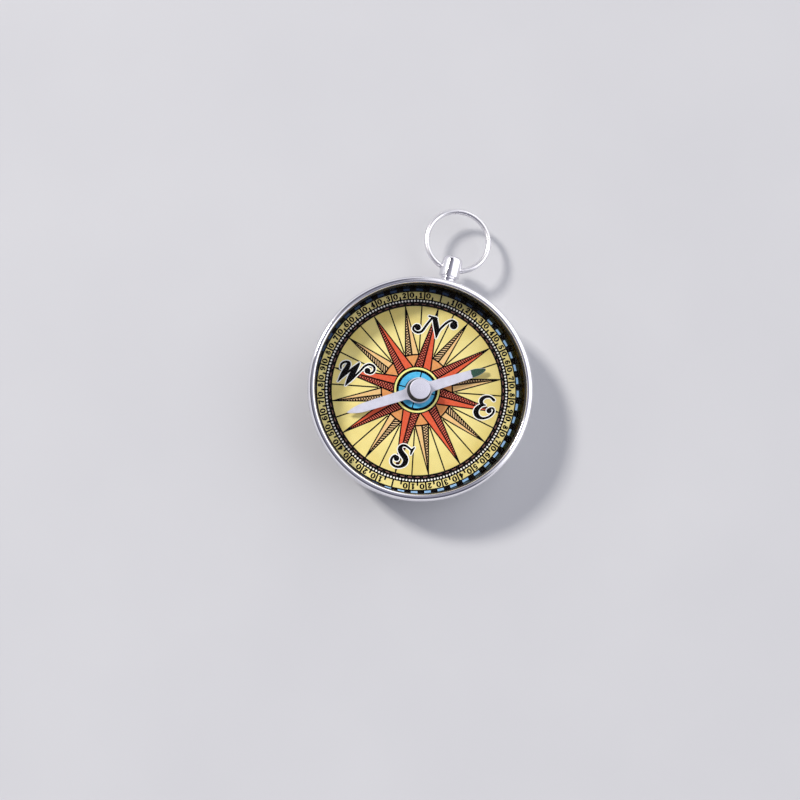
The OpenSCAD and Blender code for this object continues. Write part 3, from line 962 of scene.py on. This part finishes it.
BLUE_DASHES = 48
DASH_IN_R = 20.45
DASH_OUT_R = 20.9
DASH_SWEEP = 3.7
DASH_START = 1.9
LIT_DASH_BEARING = 108
LIT_DASH_LIMIT = 0.16
# Dashes facing the lamp get pale blue ink; the rest get navy ink as painted shade.
lit_dashes = bmesh.new()
shaded_dashes = bmesh.new()
for dash in range(BLUE_DASHES):
    bearing = DASH_START + dash * 360 / BLUE_DASHES
    is_lit = math.cos(math.radians(bearing - LIT_DASH_BEARING)) > LIT_DASH_LIMIT
    sector(lit_dashes if is_lit else shaded_dashes, DASH_IN_R, DASH_OUT_R, bearing, DASH_SWEEP)
print_film("print_blue_dashes", lit_dashes, inks["pale_blue"], "dot")
print_film("print_navy_dashes", shaded_dashes, inks["navy"], "dot")

# %% [markdown]
# Four swash capitals name the quarters. Each stroke is a short list of places and pen widths, in
# millimetres from the middle of the dial, and the balls that end the flourishes are spots. The
# same strokes drawn wider in white go underneath, and keep the letter clear of the star. A text
# object with an offset could make such a halo, but only for a letter that a font has.

# %% Draw the letters
LETTER_STROKES = {
    "N": [[(-2.93, 12.95, 0.3), (-3.48, 12.9, 0.36), (-3.93, 12.33, 0.38), (-3.77, 11.73, 0.4),
           (-2.93, 11.47, 0.42), (-2.09, 11.94, 0.42), (-1.46, 13.48, 0.38), (-0.8, 14.95, 0.38),
           (-0.4, 15.3, 0.4)],
          [(-1.39, 15.35, 0.3), (0.2, 15.3, 0.34)],
          [(-0.14, 15.1, 0.9), (0.28, 14.2, 1.02), (0.72, 13.1, 0.95), (1.02, 11.5, 0.12)],
          [(1.06, 11.4, 0.2), (1.31, 13.09, 0.36), (1.9, 14.22, 0.38), (2.6, 15.21, 0.38),
           (3.42, 15.75, 0.38), (4.27, 15.5, 0.4)]],
    "E": [[(15.71, 2.16, 0.5), (15, 2.55, 0.39), (14.33, 2.53, 0.45), (13.68, 2.22, 0.58),
           (13.24, 1.6, 0.71), (13.33, 1.02, 0.71), (13.76, 0.67, 0.5), (14.25, 0.7, 0.2)],
          [(13.9, 0.62, 0.3), (13.32, 0.28, 0.6), (12.8, -0.53, 0.9), (12.82, -1.34, 0.97),
           (13.38, -1.92, 0.8), (14.16, -2.08, 0.45), (14.97, -1.83, 0.36), (15.74, -1.22, 0.36),
           (16.2, -0.43, 0.36), (16.21, 0.18, 0.34), (15.83, 0.48, 0.32), (15.3, 0.3, 0.3)]],
    "S": [[(2.46, -11.46, 0.2), (2.14, -12.15, 0.42), (2.07, -12.9, 0.25)],
          [(2.1, -12.16, 0.33), (1.41, -11.8, 0.33), (0.74, -11.55, 0.4), (0.15, -11.6, 0.45),
           (-0.24, -12.04, 0.7), (-0.22, -12.64, 0.9), (0.39, -13.29, 1), (1.08, -13.84, 1.05),
           (1.42, -14.42, 1), (1.31, -15.19, 0.85), (0.8, -15.8, 0.52), (0.13, -16.08, 0.42),
           (-0.58, -16.04, 0.42), (-1.17, -15.68, 0.44), (-1.43, -15.14, 0.44),
           (-1.34, -14.52, 0.4), (-0.98, -14.05, 0.36), (-0.54, -14.06, 0.34)]],
    "W": [[(-16.03, 0.25, 0.34), (-16.16, 0.86, 0.34), (-15.84, 1.47, 0.36), (-15.2, 1.8, 0.44),
           (-14.72, 1.6, 0.7), (-14.76, 0.9, 0.88), (-15.08, -0.14, 0.95), (-15.44, -1.21, 0.75),
           (-15.86, -2.45, 0.14)],
          [(-15.92, -2.5, 0.14), (-14.9, -0.82, 0.35), (-13.66, 0.88, 0.4), (-12.68, 2.19, 0.28)],
          [(-12.79, 1.9, 0.5), (-13.2, 0.68, 0.9), (-13.58, -0.63, 1.05), (-13.92, -1.77, 0.7),
           (-14.22, -2.85, 0.14)],
          [(-14.25, -2.9, 0.14), (-13.36, -1.46, 0.33), (-12.7, -0.31, 0.33), (-11.98, 0.93, 0.33),
           (-11.5, 1.84, 0.34), (-10.72, 2.46, 0.36), (-9.84, 2.38, 0.4), (-9.4, 1.86, 0.4),
           (-9.56, 1.13, 0.36), (-10.08, 0.75, 0.34), (-10.53, 0.79, 0.34)]],
}
LETTER_BALLS = {"N": [(-3.08, 12.48, 0.58), (3.93, 14.82, 0.74)], "E": [(15.28, -0.2, 0.49)],
                "S": [(-0.48, -14.46, 0.52)], "W": [(-10.7, 1.13, 0.56)]}
LETTER_BOLD = 0.08
HALO_W = 0.46
BALL_LIFT = 5
BALL_STEPS = 32


def draw_letters(extra):
    """All four letters, every stroke widened by extra millimetres."""
    bm = bmesh.new()
    for letter, strokes in LETTER_STROKES.items():
        for number, points in enumerate(strokes):
            stroke(bm, points, extra, number * LIFT)
        for number, (x, y, radius) in enumerate(LETTER_BALLS[letter]):
            spot(bm, x, y, radius + extra / 2, (BALL_LIFT + number) * LIFT, BALL_STEPS)
    return bm


print_film("print_letter_halo", draw_letters(HALO_W), inks["white"], "halo")
print_film("print_letters", draw_letters(LETTER_BOLD), inks["black"], "letter")

# %% [markdown]
# The needle is a strip of magnet steel, blanked by a press. Its outline is an eye between two
# arms, a blunt one to the north and a slim one to the south, each an arch of two arcs with a
# small round nose. A curve object could hold it, but arcs with real radii are easier to measure.
# Half of it is drawn here, because the other half is its mirror image.

# %% Outline of the needle
NORTH_L = 14.4
SOUTH_L = 15.2
NORTH_TIP_L = 2.95
SOUTH_TIP_L = 4.3
ARM_ROOT_W = 1.05
NORTH_W = 0.83
SOUTH_W = 0.93
NORTH_NOSE_R = 0.28
SOUTH_NOSE_R = 0.12
EYE_R = 2.65
EYE_HOLE_R = 1.3
ROOT_FILLET = 1.3
NOSE_STEPS = 5
TIP_STEPS = 10
FILLET_STEPS = 6
EYE_STEPS = 24


def arc(radius, start, end, steps, middle=(0, 0)):
    """Points on an arc, its angles in radians."""
    angles = [start + (end - start) * step / steps for step in range(steps + 1)]
    return [(middle[0] + radius * math.cos(a), middle[1] + radius * math.sin(a)) for a in angles]


def tip_arc(reach, length, half_w, nose_r):
    """Half of an arch whose round nose ends on the x axis at reach. The nose touches the side."""
    radius = (length * length + half_w * half_w) / (2 * half_w)
    below = half_w - radius
    nose_ahead = math.sqrt((radius - nose_r) ** 2 - below ** 2)
    start = math.atan2(-below, nose_ahead)
    nose_x = reach - nose_r
    nose = arc(nose_r, 0, start, NOSE_STEPS, (nose_x, 0))
    return nose + arc(radius, start, math.pi / 2, TIP_STEPS, (nose_x - nose_ahead, below))[1:]


def half_blade():
    """The half of the blade's outline above its long axis, from the north tip to the south."""
    fillet_y = ARM_ROOT_W + ROOT_FILLET
    fillet_x = math.sqrt((EYE_R + ROOT_FILLET) ** 2 - fillet_y ** 2)
    root = math.atan2(fillet_y, fillet_x)
    fillet = arc(ROOT_FILLET, -math.pi / 2, root - math.pi, FILLET_STEPS, (fillet_x, fillet_y))
    north = tip_arc(NORTH_L, NORTH_TIP_L, NORTH_W, NORTH_NOSE_R) + fillet
    south = tip_arc(SOUTH_L, SOUTH_TIP_L, SOUTH_W, SOUTH_NOSE_R) + fillet
    eye = arc(EYE_R, root, math.pi - root, EYE_STEPS)[1:-1]
    hole = arc(EYE_HOLE_R, math.pi, 0, EYE_STEPS)
    return north + eye + [(-x, y) for x, y in reversed(south)] + hole


print("half of the blade's outline has", len(half_blade()), "points")

# %% [markdown]
# After the press the blade was tumbled, which took the sharpness off its edges, and sprayed with
# a pale lilac white lacquer. A Solidify and a Bevel modifier would do, but the paint on the tip
# needs the same steps at another height. So one function mirrors an outline, thickens it, bevels
# its edges and turns it to where the needle points.

# %% Helpers for plates
NEEDLE_ANGLE = math.radians(32.5)
MIRROR_WELD = 1e-4
CRISP = math.radians(50)
EASE_STEPS = 2


def thicken(bm, bottom, top):
    """Turns a flat drawing into a plate between two heights."""
    bmesh.ops.translate(bm, verts=bm.verts, vec=(0, 0, bottom))
    made = bmesh.ops.extrude_face_region(bm, geom=bm.faces[:], use_keep_orig=True)
    raised = [item for item in made["geom"] if isinstance(item, bmesh.types.BMVert)]
    bmesh.ops.translate(bm, verts=raised, vec=(0, 0, top - bottom))
    bmesh.ops.recalc_face_normals(bm, faces=bm.faces)


def ease_edges(bm, size):
    """Bevels every edge that turns more sharply than a smooth curve does."""
    crisp = [edge for edge in bm.edges if edge.is_manifold and edge.calc_face_angle(0) > CRISP]
    bmesh.ops.bevel(bm, geom=crisp, offset=size, offset_type="OFFSET", segments=EASE_STEPS,
                    profile=0.5, affect="EDGES", material=-1)


def mirrored_plate(points, bottom, top, edge):
    """A plate half drawn and half mirrored across the needle's length."""
    bm = bmesh.new()
    corner_face(bm, points)
    halves = bm.verts[:] + bm.edges[:] + bm.faces[:]
    bmesh.ops.mirror(bm, geom=halves, axis="Y", merge_dist=MIRROR_WELD)
    seams = [seam for seam in bm.edges if not seam.is_boundary]
    bmesh.ops.dissolve_edges(bm, edges=seams, use_verts=False)
    thicken(bm, bottom, top)
    ease_edges(bm, edge)
    bmesh.ops.rotate(bm, verts=bm.verts, cent=(0, 0, 0), matrix=Matrix.Rotation(NEEDLE_ANGLE, 3, "Z"))
    return bm


print("the needle is turned", round(math.degrees(NEEDLE_ANGLE), 1), "degrees from east towards north")

# %% Cut and lacquer the needle
DRIFT_SIZE = 1.2
PEEL_SIZE = 0.16
PEEL_DEPTH = 0.003
BLADE_EDGE = 0.05
blade_z = low("needle_blade").z
blade_top = high("needle_blade").z


def satin_lacquer(name, pale, shade):
    """Sprayed lacquer on steel: an even satin with a fine orange-peel skin."""
    material, tree, shader = blank(name)
    drift = between(tree, grain(tree, DRIFT_SIZE), 0, 1)
    tree.links.new(blend_colours(tree, drift, shade, pale), shader.inputs["Base Color"])
    peel = grain(tree, PEEL_SIZE, 2)
    tree.links.new(between(tree, peel, 0.32, 0.46), shader.inputs["Roughness"])
    relief(tree, shader, peel, PEEL_DEPTH)
    return material


needle_lacquer = satin_lacquer("needle_lacquer", "#D4D3E2", "#C7C6D5")
blade = mirrored_plate(half_blade(), blade_z, blade_top, BLADE_EDGE)
keep_flats(make_piece("needle_pressed", blade, needle_lacquer, "needle", ["needle_blade"]))

# %% [markdown]
# The north end was brushed with green lacquer by hand. A second material on the blade's own faces
# would start on a dead straight line. So the paint is a film of its own, which keeps a hair
# inside the blade's edge and has an uneven near end.

# %% Paint the north tip
PAINT_INSET = 0.05
PAINT_START = 3.1
PAINT_T = 0.04
PAINT_EDGE = 0.012
WAVE_BACK = 0.06
WAVE_AHEAD = 0.03


def paint_outline():
    """Half of the painted patch, with a slightly wavy start."""
    start = NORTH_L - PAINT_START
    half_w = NORTH_W - PAINT_INSET
    nose_r = NORTH_NOSE_R - PAINT_INSET
    tip = tip_arc(NORTH_L - PAINT_INSET, NORTH_TIP_L - PAINT_INSET, half_w, nose_r)
    return tip + [(start, half_w), (start + WAVE_AHEAD, NORTH_W / 2), (start - WAVE_BACK, 0)]


tip_green = satin_lacquer("tip_green", "#23523F", "#163A2C")
paint = mirrored_plate(paint_outline(), blade_top, blade_top + PAINT_T, PAINT_EDGE)
keep_flats(make_piece("north_tip_lacquer", paint, tip_green, "needle", ["north_tip_paint"]))

# %% [markdown]
# The cap is a turned bush that carries the jewel. Its top was faced on the lathe, which leaves
# fine rings, and is dished by a hair towards the middle. Its side is a cone of the same metal, and
# the dark reflection that it shows is painted on as dull black, so it stays dark from every side.
# Two pieces could hold the two finishes, but one mesh can carry both: the way that a face looks
# decides which of them it gets.

# %% Turn the cap
CAP_R = 2.4
CAP_TOP_R = 2.08
CAP_EDGE = 0.12
CAP_DISH = 0.02
SHANK_R = 1.2
POCKET_R = 0.8
LEAST_UPWARD = 0.6
ROUGH_SPAN = 0.12
cap_z = blade_top
cap_top = high("needle_cap").z
cap_low = low("needle_cap").z
jewel_top = high("jewel_cup").z


def faced_metal(name, pale, shade, pitch, depth, rough):
    """Turned or rolled metal: satin, with the tool's fine rings."""
    material, tree, shader = blank(name)
    rings = turning_marks(tree, pitch)
    tone = between(tree, rings, 0, 1)
    tree.links.new(blend_colours(tree, tone, shade, pale), shader.inputs["Base Color"])
    tree.links.new(between(tree, rings, rough, rough + ROUGH_SPAN), shader.inputs["Roughness"])
    shader.inputs["Metallic"].default_value = 1
    relief(tree, shader, rings, depth)
    return material


cap_face = faced_metal("faced_aluminium", "#ECEAF4", "#D6D3E2", 0.1, 0.003, 0.42)
# The side's dull black is a painted dark reflection, not a real finish of the metal.
cap_side_dark_reflection = dull_black("painted_dark_reflection", "#050606", "#0C0E0D")
cap = turned(
    [(0, cap_top - CAP_DISH), (CAP_TOP_R, cap_top), (CAP_R, cap_z), (SHANK_R, cap_z),
     (SHANK_R, cap_low), (POCKET_R, cap_low), (POCKET_R, jewel_top), (0, jewel_top)],
    {1: CAP_EDGE}, closed=False, steps=SMALL_TURN_STEPS)
cap_piece = keep_flats(make_piece("cap_turned", cap, cap_face, "needle", ["needle_cap"]))
cap_piece.data.materials.append(cap_side_dark_reflection)
for polygon in cap_piece.data.polygons:
    polygon.material_index = int(polygon.normal.z < LEAST_UPWARD)
print("cap faced at", round(cap_top, 2))

# %% [markdown]
# The pendant is turned from bar: a neck with two fine grooves, a straight body and a domed end.
# It is spun round its own axis, laid over to point north and drilled across for the ring. A
# Boolean modifier drills it, because a hole through a round bar has no simple outline.

# %% Turn the pendant
PENDANT_R = 2.1
PENDANT_L = 4.3
NECK_R = 1.6
DOME = 1.0
BODY_ROUND = 0.12
GROOVE = 0.18
GROOVES_DOWN = [0.95, 0.45]
pendant_top = high("pendant").y
body_y = pendant_top - PENDANT_L
neck_start = cup_r - CUP_WALL

neck = [(0, neck_start), (NECK_R, neck_start)]
for down in GROOVES_DOWN:
    groove_y = body_y - down
    neck += [(NECK_R, groove_y - GROOVE), (NECK_R - GROOVE, groove_y), (NECK_R, groove_y + GROOVE)]
body = [(NECK_R, body_y), (PENDANT_R, body_y), (PENDANT_R, pendant_top), (0, pendant_top)]
pendant = turned(neck + body, {9: BODY_ROUND, 10: DOME}, closed=False, steps=SMALL_TURN_STEPS)
lay_over = Matrix.Rotation(-math.pi / 2, 3, "X")
bmesh.ops.rotate(pendant, verts=pendant.verts, cent=(0, 0, 0), matrix=lay_over)
bmesh.ops.translate(pendant, verts=pendant.verts, vec=(0, 0, pendant_z))
pendant_piece = make_piece("pendant_turned", pendant, nickel_bezel, "case", ["pendant"])

# %% Drill the pendant
BOW_HOLE_R = 0.74
BOW_HOLE_UP = 1.75
DRILL_L = 6
DRILL_STEPS = 48
hole_y = body_y + BOW_HOLE_UP
along_x = Matrix.Rotation(math.pi / 2, 4, "Y")


def drill(piece, cutter_bm):
    """Cuts a tool's shape out of a piece with a Boolean modifier, then keeps the result."""
    bmesh.ops.scale(cutter_bm, vec=(MM, MM, MM), verts=cutter_bm.verts)
    mesh = bpy.data.meshes.new("tool")
    cutter_bm.to_mesh(mesh)
    cutter_bm.free()
    tool = bpy.data.objects.new("tool", mesh)
    scene.collection.objects.link(tool)
    cut = piece.modifiers.new("drill", "BOOLEAN")
    cut.operation = "DIFFERENCE"
    cut.solver = "EXACT"
    cut.object = tool
    graph = bpy.context.evaluated_depsgraph_get()
    result = bpy.data.meshes.new_from_object(piece.evaluated_get(graph))
    piece.modifiers.remove(cut)
    piece.data = result
    bpy.data.objects.remove(tool)
    for polygon in result.polygons:
        polygon.use_smooth = True
    result.set_sharp_from_angle(angle=SHARP)


drill_bit = bmesh.new()
bmesh.ops.create_cone(drill_bit, cap_ends=True, segments=DRILL_STEPS, radius1=BOW_HOLE_R,
                      radius2=BOW_HOLE_R, depth=DRILL_L,
                      matrix=Matrix.Translation((0, hole_y, pendant_z)) @ along_x)
drill(pendant_piece, drill_bit)
print("pendant drilled,", len(pendant_piece.data.polygons), "faces")

# %% [markdown]
# The bow ring is a length of round wire bent until its ends meet inside the pendant's hole. A
# torus would have no ends. So a circle the thickness of the wire is spun almost all the way
# round, and the butt joint is real. Across the pendant the wire bends away from the straight
# hole by a small sag, and half of that is taken off, so that the wire keeps to the hole's middle.
# The ring droops by a few degrees towards the table.

# %% Bend the bow ring
WIRE_R = 0.52
WIRE_STEPS = 24
BOW_STEPS = 160
BOW_DROOP = math.radians(6)
BOW_GAP = math.radians(1)
bow_r = high("bow_ring").x - WIRE_R
bow_sag = PENDANT_R ** 2 / (2 * bow_r)
bow_centre = bow_r - bow_sag / 2

bow = bmesh.new()
bmesh.ops.create_circle(bow, cap_ends=True, radius=WIRE_R, segments=WIRE_STEPS,
                        matrix=Matrix.Translation((0, -bow_r, 0)) @ along_x)
bmesh.ops.rotate(bow, verts=bow.verts, cent=(0, 0, 0), matrix=Matrix.Rotation(BOW_GAP / 2, 3, "Z"))
bmesh.ops.spin(bow, geom=bow.verts[:] + bow.edges[:] + bow.faces[:], cent=(0, 0, 0), axis=(0, 0, 1),
               angle=math.tau - BOW_GAP, steps=BOW_STEPS)
bmesh.ops.recalc_face_normals(bow, faces=bow.faces)
bmesh.ops.translate(bow, verts=bow.verts, vec=(0, bow_centre, 0))
bmesh.ops.rotate(bow, verts=bow.verts, cent=(0, 0, 0), matrix=Matrix.Rotation(-BOW_DROOP, 3, "X"))
bmesh.ops.translate(bow, verts=bow.verts, vec=(0, hole_y, pendant_z))
make_piece("bow_wire", bow, nickel_wire, "bow", ["bow_ring"])

# %% [markdown]
# What the case hides still deserves its own finish, because the model may be opened. The plate
# is rolled aluminium, the post and nut are brass, the washer and the pin are steel, the collar is
# of the cap's aluminium, and the jewel is red glass. New meshes would add nothing, because their
# CAD shapes are right, so only their materials change.

# %% Finish the inner pieces
SWIRL_SIZE = 0.4
SWIRL_DEPTH = 0.0005


def red_glass(name):
    """Fused red glass, smooth and wet looking, a little deeper here and there."""
    material, tree, shader = blank(name)
    swirls = grain(tree, SWIRL_SIZE)
    tree.links.new(blend_colours(tree, swirls, "#7A0F1C", "#B8202E"), shader.inputs["Base Color"])
    tree.links.new(between(tree, swirls, 0.05, 0.12), shader.inputs["Roughness"])
    relief(tree, shader, swirls, SWIRL_DEPTH)
    return material


inner_finishes = {
    faced_metal("rolled_aluminium", "#D8D9DB", "#BFC0C3", 0.2, 0.002, 0.3): ["dial_plate"],
    faced_metal("turned_brass", "#D9B45A", "#B98F3C", 0.12, 0.003, 0.24): ["pivot_post", "post_nut"],
    faced_metal("ground_steel", "#8E8F94", "#6C6D72", 0.08, 0.001, 0.2): ["pivot_pin", "post_washer"],
    cap_face: ["cap_collar"],
    red_glass("red_jewel_glass"): ["jewel_cup"],
}
for finish, names in inner_finishes.items():
    for name in names:
        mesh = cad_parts[name].data
        mesh.materials.clear()
        mesh.materials.append(finish)
print("inner pieces finished:", sum(len(names) for names in inner_finishes.values()))

# %% [markdown]
# The compass lies on a painted board, matt and pale grey, which shows its shadow and throws some
# light back under the ring. A curved backdrop would hide the horizon, but the far end of a wide
# flat board already meets a sky of nearly the same grey.

# %% Lay the floor
FLOOR_SIZE = 3
FLOOR_TONE_SIZE = 40
FLOOR_GLOSS = 0.05


def painted_board(name):
    """Matt painted board, pale grey with a faint drift of tone."""
    material, tree, shader = blank(name)
    tone = grain(tree, FLOOR_TONE_SIZE)
    tree.links.new(blend_colours(tree, tone, "#BEBFC4", "#C6C7CB"), shader.inputs["Base Color"])
    tree.links.new(between(tree, tone, 0.8, 0.9), shader.inputs["Roughness"])
    shader.inputs["Specular IOR Level"].default_value = FLOOR_GLOSS
    return material


floor_mesh = bpy.data.meshes.new("floor")
floor_bm = bmesh.new()
bmesh.ops.create_grid(floor_bm, x_segments=1, y_segments=1, size=FLOOR_SIZE)
floor_bm.to_mesh(floor_mesh)
floor_bm.free()
floor_mesh.materials.append(painted_board("painted_board"))
floor = bpy.data.objects.new("floor", floor_mesh)
scene.collection.objects.link(floor)
print("floor laid, reaching", FLOOR_SIZE, "metres each way")

# %% [markdown]
# Polished metal only shows what stands round it. An image of a real room would do, but a sky of
# a few stops needs no file. It is a vault that is bright from the horizon up to about thirty
# degrees, dark grey above and paler again overhead, with one large bright window to the
# north-east that fades out at the horizon. The lip of the bezel squeezes all of that into thin
# light and dark lines. Heights are the sine of the angle above the horizon, and the window
# reaches from its middle to a core at full strength and a rim where it ends.

# %% Hang the sky
VAULT = [(0, "#D4D5DA"), (0.12, "#EEEEF2"), (0.2, "#FAFAFD"), (0.4, "#F8F8FC"), (0.56, "#505060"),
         (0.84, "#585866"), (1, "#A4A4B2")]
WINDOW = (0.714, 0.533, 0.454)
WINDOW_GLOW = (1.8, 1.8, 1.86, 1)
WINDOW_CORE = math.cos(math.radians(40))
WINDOW_RIM = math.cos(math.radians(54))
FADE_LOW = 0.03
FADE_HIGH = 0.25
world = bpy.data.worlds.new("studio")
scene.world = world
world.use_nodes = True
sky = world.node_tree
direction = add(sky, "TexCoord").outputs["Generated"]
height = add(sky, "SeparateXYZ", None, {"Vector": direction}).outputs["Z"]
vault = add(sky, "ValToRGB", None, {"Fac": height})
stops = vault.color_ramp.elements
while len(stops) < len(VAULT):
    stops.new(0.5)
for stop, (position, colour) in zip(stops, VAULT):
    stop.position = position
    stop.color = linear(colour)
dot = add(sky, "VectorMath", {1: WINDOW}, {0: direction}, operation="DOT_PRODUCT")
span = {"From Min": WINDOW_RIM, "From Max": WINDOW_CORE}
in_window = add(sky, "MapRange", span, {"Value": dot.outputs["Value"]}).outputs["Result"]
span = {"From Min": FADE_LOW, "From Max": FADE_HIGH}
above_horizon = add(sky, "MapRange", span, {"Value": height}).outputs["Result"]
share = add(sky, "Math", None, {0: in_window, 1: above_horizon}, operation="MULTIPLY").outputs[0]
colours = {0: share, 6: vault.outputs["Color"]}
lit = add(sky, "Mix", {7: WINDOW_GLOW}, colours, data_type="RGBA").outputs[2]
sky.links.new(lit, sky.nodes["Background"].inputs["Color"])
print("sky hung with", len(VAULT), "stops and one window")

# %% [markdown]
# One lamp in the north-west throws the bezel's shadow on the dial, with an edge as soft as in the
# photograph. A sun lamp of the right angle would do, but an area lamp has a size and a place like
# a real one. It stands well off, so that the floor is no brighter on its side.

# %% Set the lamp
LAMP_BEARING = math.radians(293)
LAMP_ELEVATION = math.radians(39)
LAMP_DISTANCE = 3
LAMP_SIDE = 0.48
LAMP_POWER = 80

lamp = bpy.data.lights.new("key_lamp", "AREA")
lamp.shape = "SQUARE"
lamp.size = LAMP_SIDE
lamp.energy = LAMP_POWER
lamp.color = linear("#FFFAF2")[:3]
lamp_object = bpy.data.objects.new("key_lamp", lamp)
scene.collection.objects.link(lamp_object)
flat = math.cos(LAMP_ELEVATION)
east = math.sin(LAMP_BEARING) * flat
north = math.cos(LAMP_BEARING) * flat
from_dial = Vector((east, north, math.sin(LAMP_ELEVATION)))
facing = from_dial.to_track_quat("Z", "Y").to_matrix().to_4x4()
lamp_object.matrix_world = Matrix.Translation(from_dial * LAMP_DISTANCE) @ facing
scene.view_settings.view_transform = "Standard"
print("the lamp stands", LAMP_DISTANCE, "metres off and gives", LAMP_POWER, "watts")
